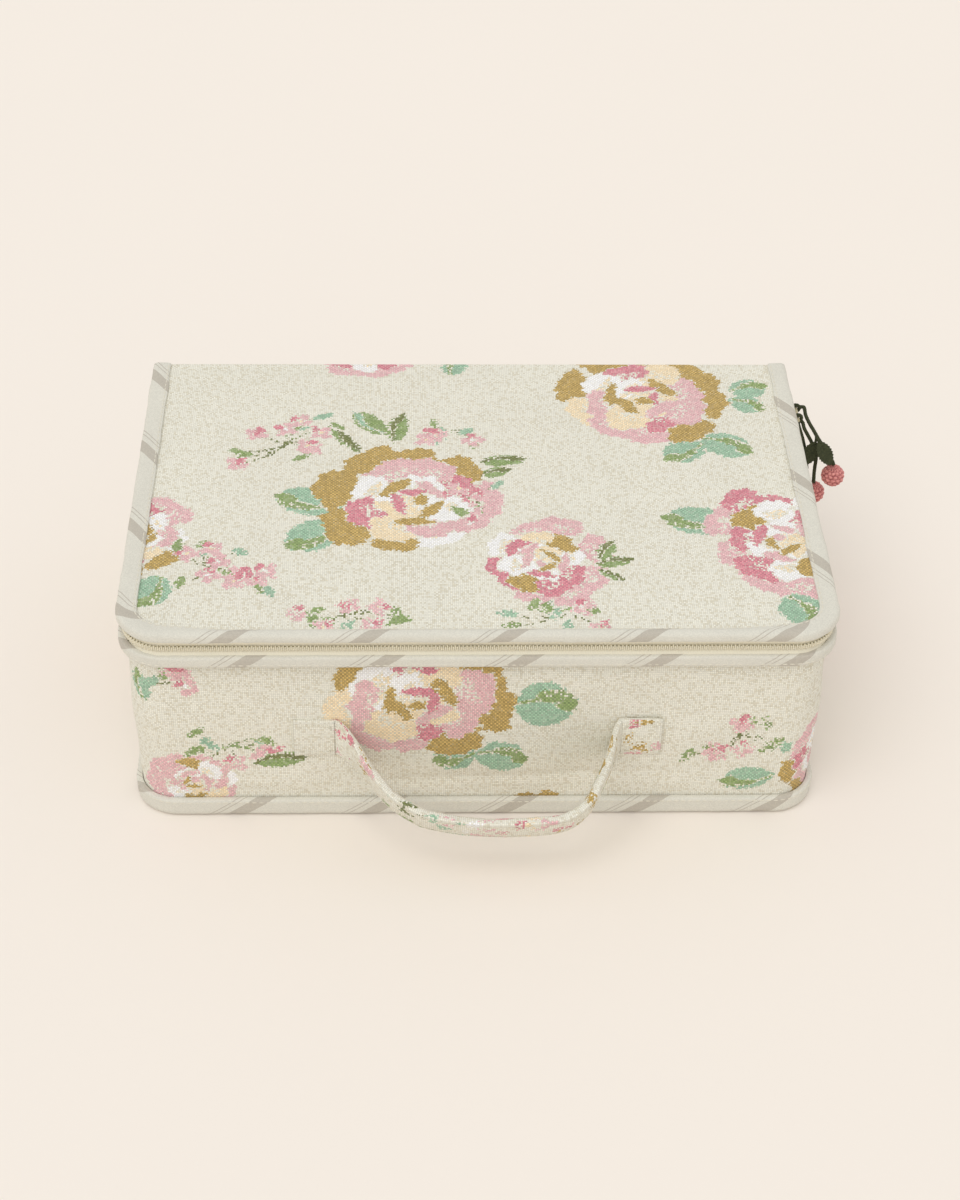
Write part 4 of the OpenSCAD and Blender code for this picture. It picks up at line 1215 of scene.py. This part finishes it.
def hinge_lining(material):
    """Lining that runs up the rear wall and crosses straight to the lid inside the fold."""
    wall_y, low = INNER_HIGH.y - 1.3 * MM, BACK_HIGH.z - 12 * MM
    start = (INNER_HIGH.y - 0.6 * MM, BACK_HIGH.z - 0.5 * MM)
    end = (UNDER_HIGH.y - 0.4 * MM, UNDER_LOW.z + 0.35 * MM)
    up_wall = [(wall_y, low), (wall_y, low + 6 * MM), (wall_y + 0.1 * MM, start[1] - 2 * MM), start]
    route = np.vstack([smooth_path(up_wall, 5), end])
    half_x = np.full(len(route), INNER_HIGH.x - 1.2 * MM)
    half_x[-3:] = UNDER_HIGH.x - 0.6 * MM
    columns = 120
    x = np.linspace(-1, 1, columns)[None, :] * half_x[:, None]
    points = stack(x, route[:, :1], route[:, 1:])
    travelled = lengths_along(route)
    woven = travelled.copy()
    woven[-1] += 11 * MM
    obj = cloth_piece("hinge_lining", points, stack(x, woven[:, None]), material, flip=True)
    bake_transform(obj)


# Build

add_camera()
add_stage()
yarn_green = speckled_material("green_yarn", tone(78, 82, 58), tone(44, 48, 34), 900.0, 0.95, 0.25 * MM)
# Pink yarn: its dark pink is painted shade in the hollows between the stitches and its light pink the lit
# stitch tops.
yarn_pink = crochet_material("pink_yarn", tone(234, 160, 154), tone(150, 74, 78))
for cord_name, route in CORD_ROUTES.items():
    charm_cord(cord_name, route, yarn_green)
charm_wraps(yarn_green)
charm_leaf("crochet_leaf_upper", *LEAF_UPPER, yarn_green, "charm_leaf_upper")
charm_leaf("crochet_leaf_lower", *LEAF_LOWER, yarn_green, "charm_leaf_lower")
charm_cherry("crochet_cherry_outer", "charm_cherry_outer", yarn_pink)
charm_cherry("crochet_cherry_inner", "charm_cherry_inner", yarn_pink)

rose_cloth = rose_cloth_material()
striped = striped_material()
lining = plain_cloth_material("lining_cotton", tone(232, 226, 210), 0.7 * MM, 0.5 * MM)
thread = speckled_material("sewing_thread", tone(236, 232, 218), tone(214, 208, 190), 1500.0, 0.8, 0.05 * MM)
lid_rear_cloth(rose_cloth)
wall_cloth(rose_cloth)
bottom_cloth(rose_cloth)
lid_top, lid_low = RIM_HIGH.z, RIM_LOW.z
leg_low = lid_top - 1.3 * MM
lip = 1.1 * MM
front_squeeze = 0.8
roll_mid = (ROLL_LOW.z + ROLL_HIGH.z) / 2
foot_low, foot_leg = 0.05 * MM, 1.3 * MM

# Sections of the bindings: inset in millimetres, height, radius of the turn in millimetres
lid_section = [(8.5, leg_low, 0.2), (8.5, lid_top - 0.2 * MM, 0.6), (0, lid_top + 0.2 * MM, 3.2),
               (-0.1, lid_low + lip, 1.3), (2.6, lid_low + lip, 1.0), (2.6, leg_low, 0.3)]
roll_section = [(2.7, ROLL_HIGH.z, 0.7), (-0.1, ROLL_HIGH.z, 1.5), (-0.1, ROLL_LOW.z, 1.5),
                (2.7, ROLL_LOW.z, 0.7)]
foot_section = [(3.8, FOOT_HIGH.z, 0.7), (1.1, FOOT_HIGH.z, 1.3), (1.1, foot_low, 3.2),
                (8.4, foot_low, 0.3), (8.4, 1.2 * MM, 0.3), (3.8, foot_leg, 0.3)]

binding("lid_bias_binding", lid_section, (3.0, leg_low - 1.2 * MM), RIM_HIGH.y + 1.8 * MM,
        "lid", "lid_binding", striped, 51, squeeze=front_squeeze)
binding("wall_bias_binding", roll_section, (2.7, roll_mid), ROLL_HIGH.y, "base", "wall_binding", striped, 53)
binding("bottom_bias_binding", foot_section, (3.8, foot_leg), FOOT_HIGH.y, "base", "bottom_binding",
        striped, 55)
lid_seam = rim_line(7.4 * MM, lid_top - 0.08 * MM, RIM_HIGH.y - 1 * MM, 0.0, front_squeeze)
roll_seam = rim_line(-0.05 * MM, ROLL_LOW.z + 1.6 * MM, ROLL_HIGH.y - 1 * MM, 1.0)
foot_seam = rim_line(1.15 * MM, FOOT_HIGH.z - 1.3 * MM, FOOT_HIGH.y - 1 * MM, 1.0)
stitch_rows("lid_binding_stitches", [lid_seam], thread, "lid", "striped_binding")
stitch_rows("base_binding_stitches", [roll_seam, foot_seam], thread, "base", "striped_binding")
# Zip tape: its darker cream is painted shade between the ribs.
tape = ribbed_material("zip_tape_weave", tone(240, 235, 217), tone(229, 222, 200), 0.7 * MM, 0.1 * MM)
zip_tape("zip_tape_base_cloth", -1, "base", "zip_tape_lower", tape)
zip_tape("zip_tape_lid_cloth", 1, "lid", "zip_tape_upper", tape)
nylon = speckled_material("zip_nylon", tone(238, 232, 212), tone(228, 220, 196), 700.0, 0.45, 0.04 * MM,
                          coat=0.2)
zip_chain("zip_chain_base", -1, 0.0, "base", "zip_teeth_lower", nylon)
zip_chain("zip_chain_lid", 1, 0.5, "lid", "zip_teeth_upper", nylon)
handle(rose_cloth, thread)
lid_lining_cloth(lining)
wall_lining_cloth(lining)
bottom_lining_cloth(lining)
hinge_lining(lining)

enamel = speckled_material("slider_enamel", tone(206, 198, 168), tone(190, 180, 148), 400.0, 0.35, 0.03 * MM,
                           coat=0.4)
wadding = speckled_material("wadding", tone(244, 242, 236), tone(226, 222, 212), 500.0, 0.95, 0.3 * MM)
board = speckled_material("grey_board", tone(190, 178, 156), tone(164, 150, 126), 300.0, 0.9, 0.1 * MM)
node_materials = {
    nylon: ("zip_stop_lower", "zip_stop_upper"),
    enamel: ("slider_body",),
    wadding: ("wall_foam", "back_foam", "lid_wadding"),
    board: ("bottom_board", "lid_board"),
}
for material, names in node_materials.items():
    for name in names:
        nodes[name].data.materials.clear()
        nodes[name].data.materials.append(material)
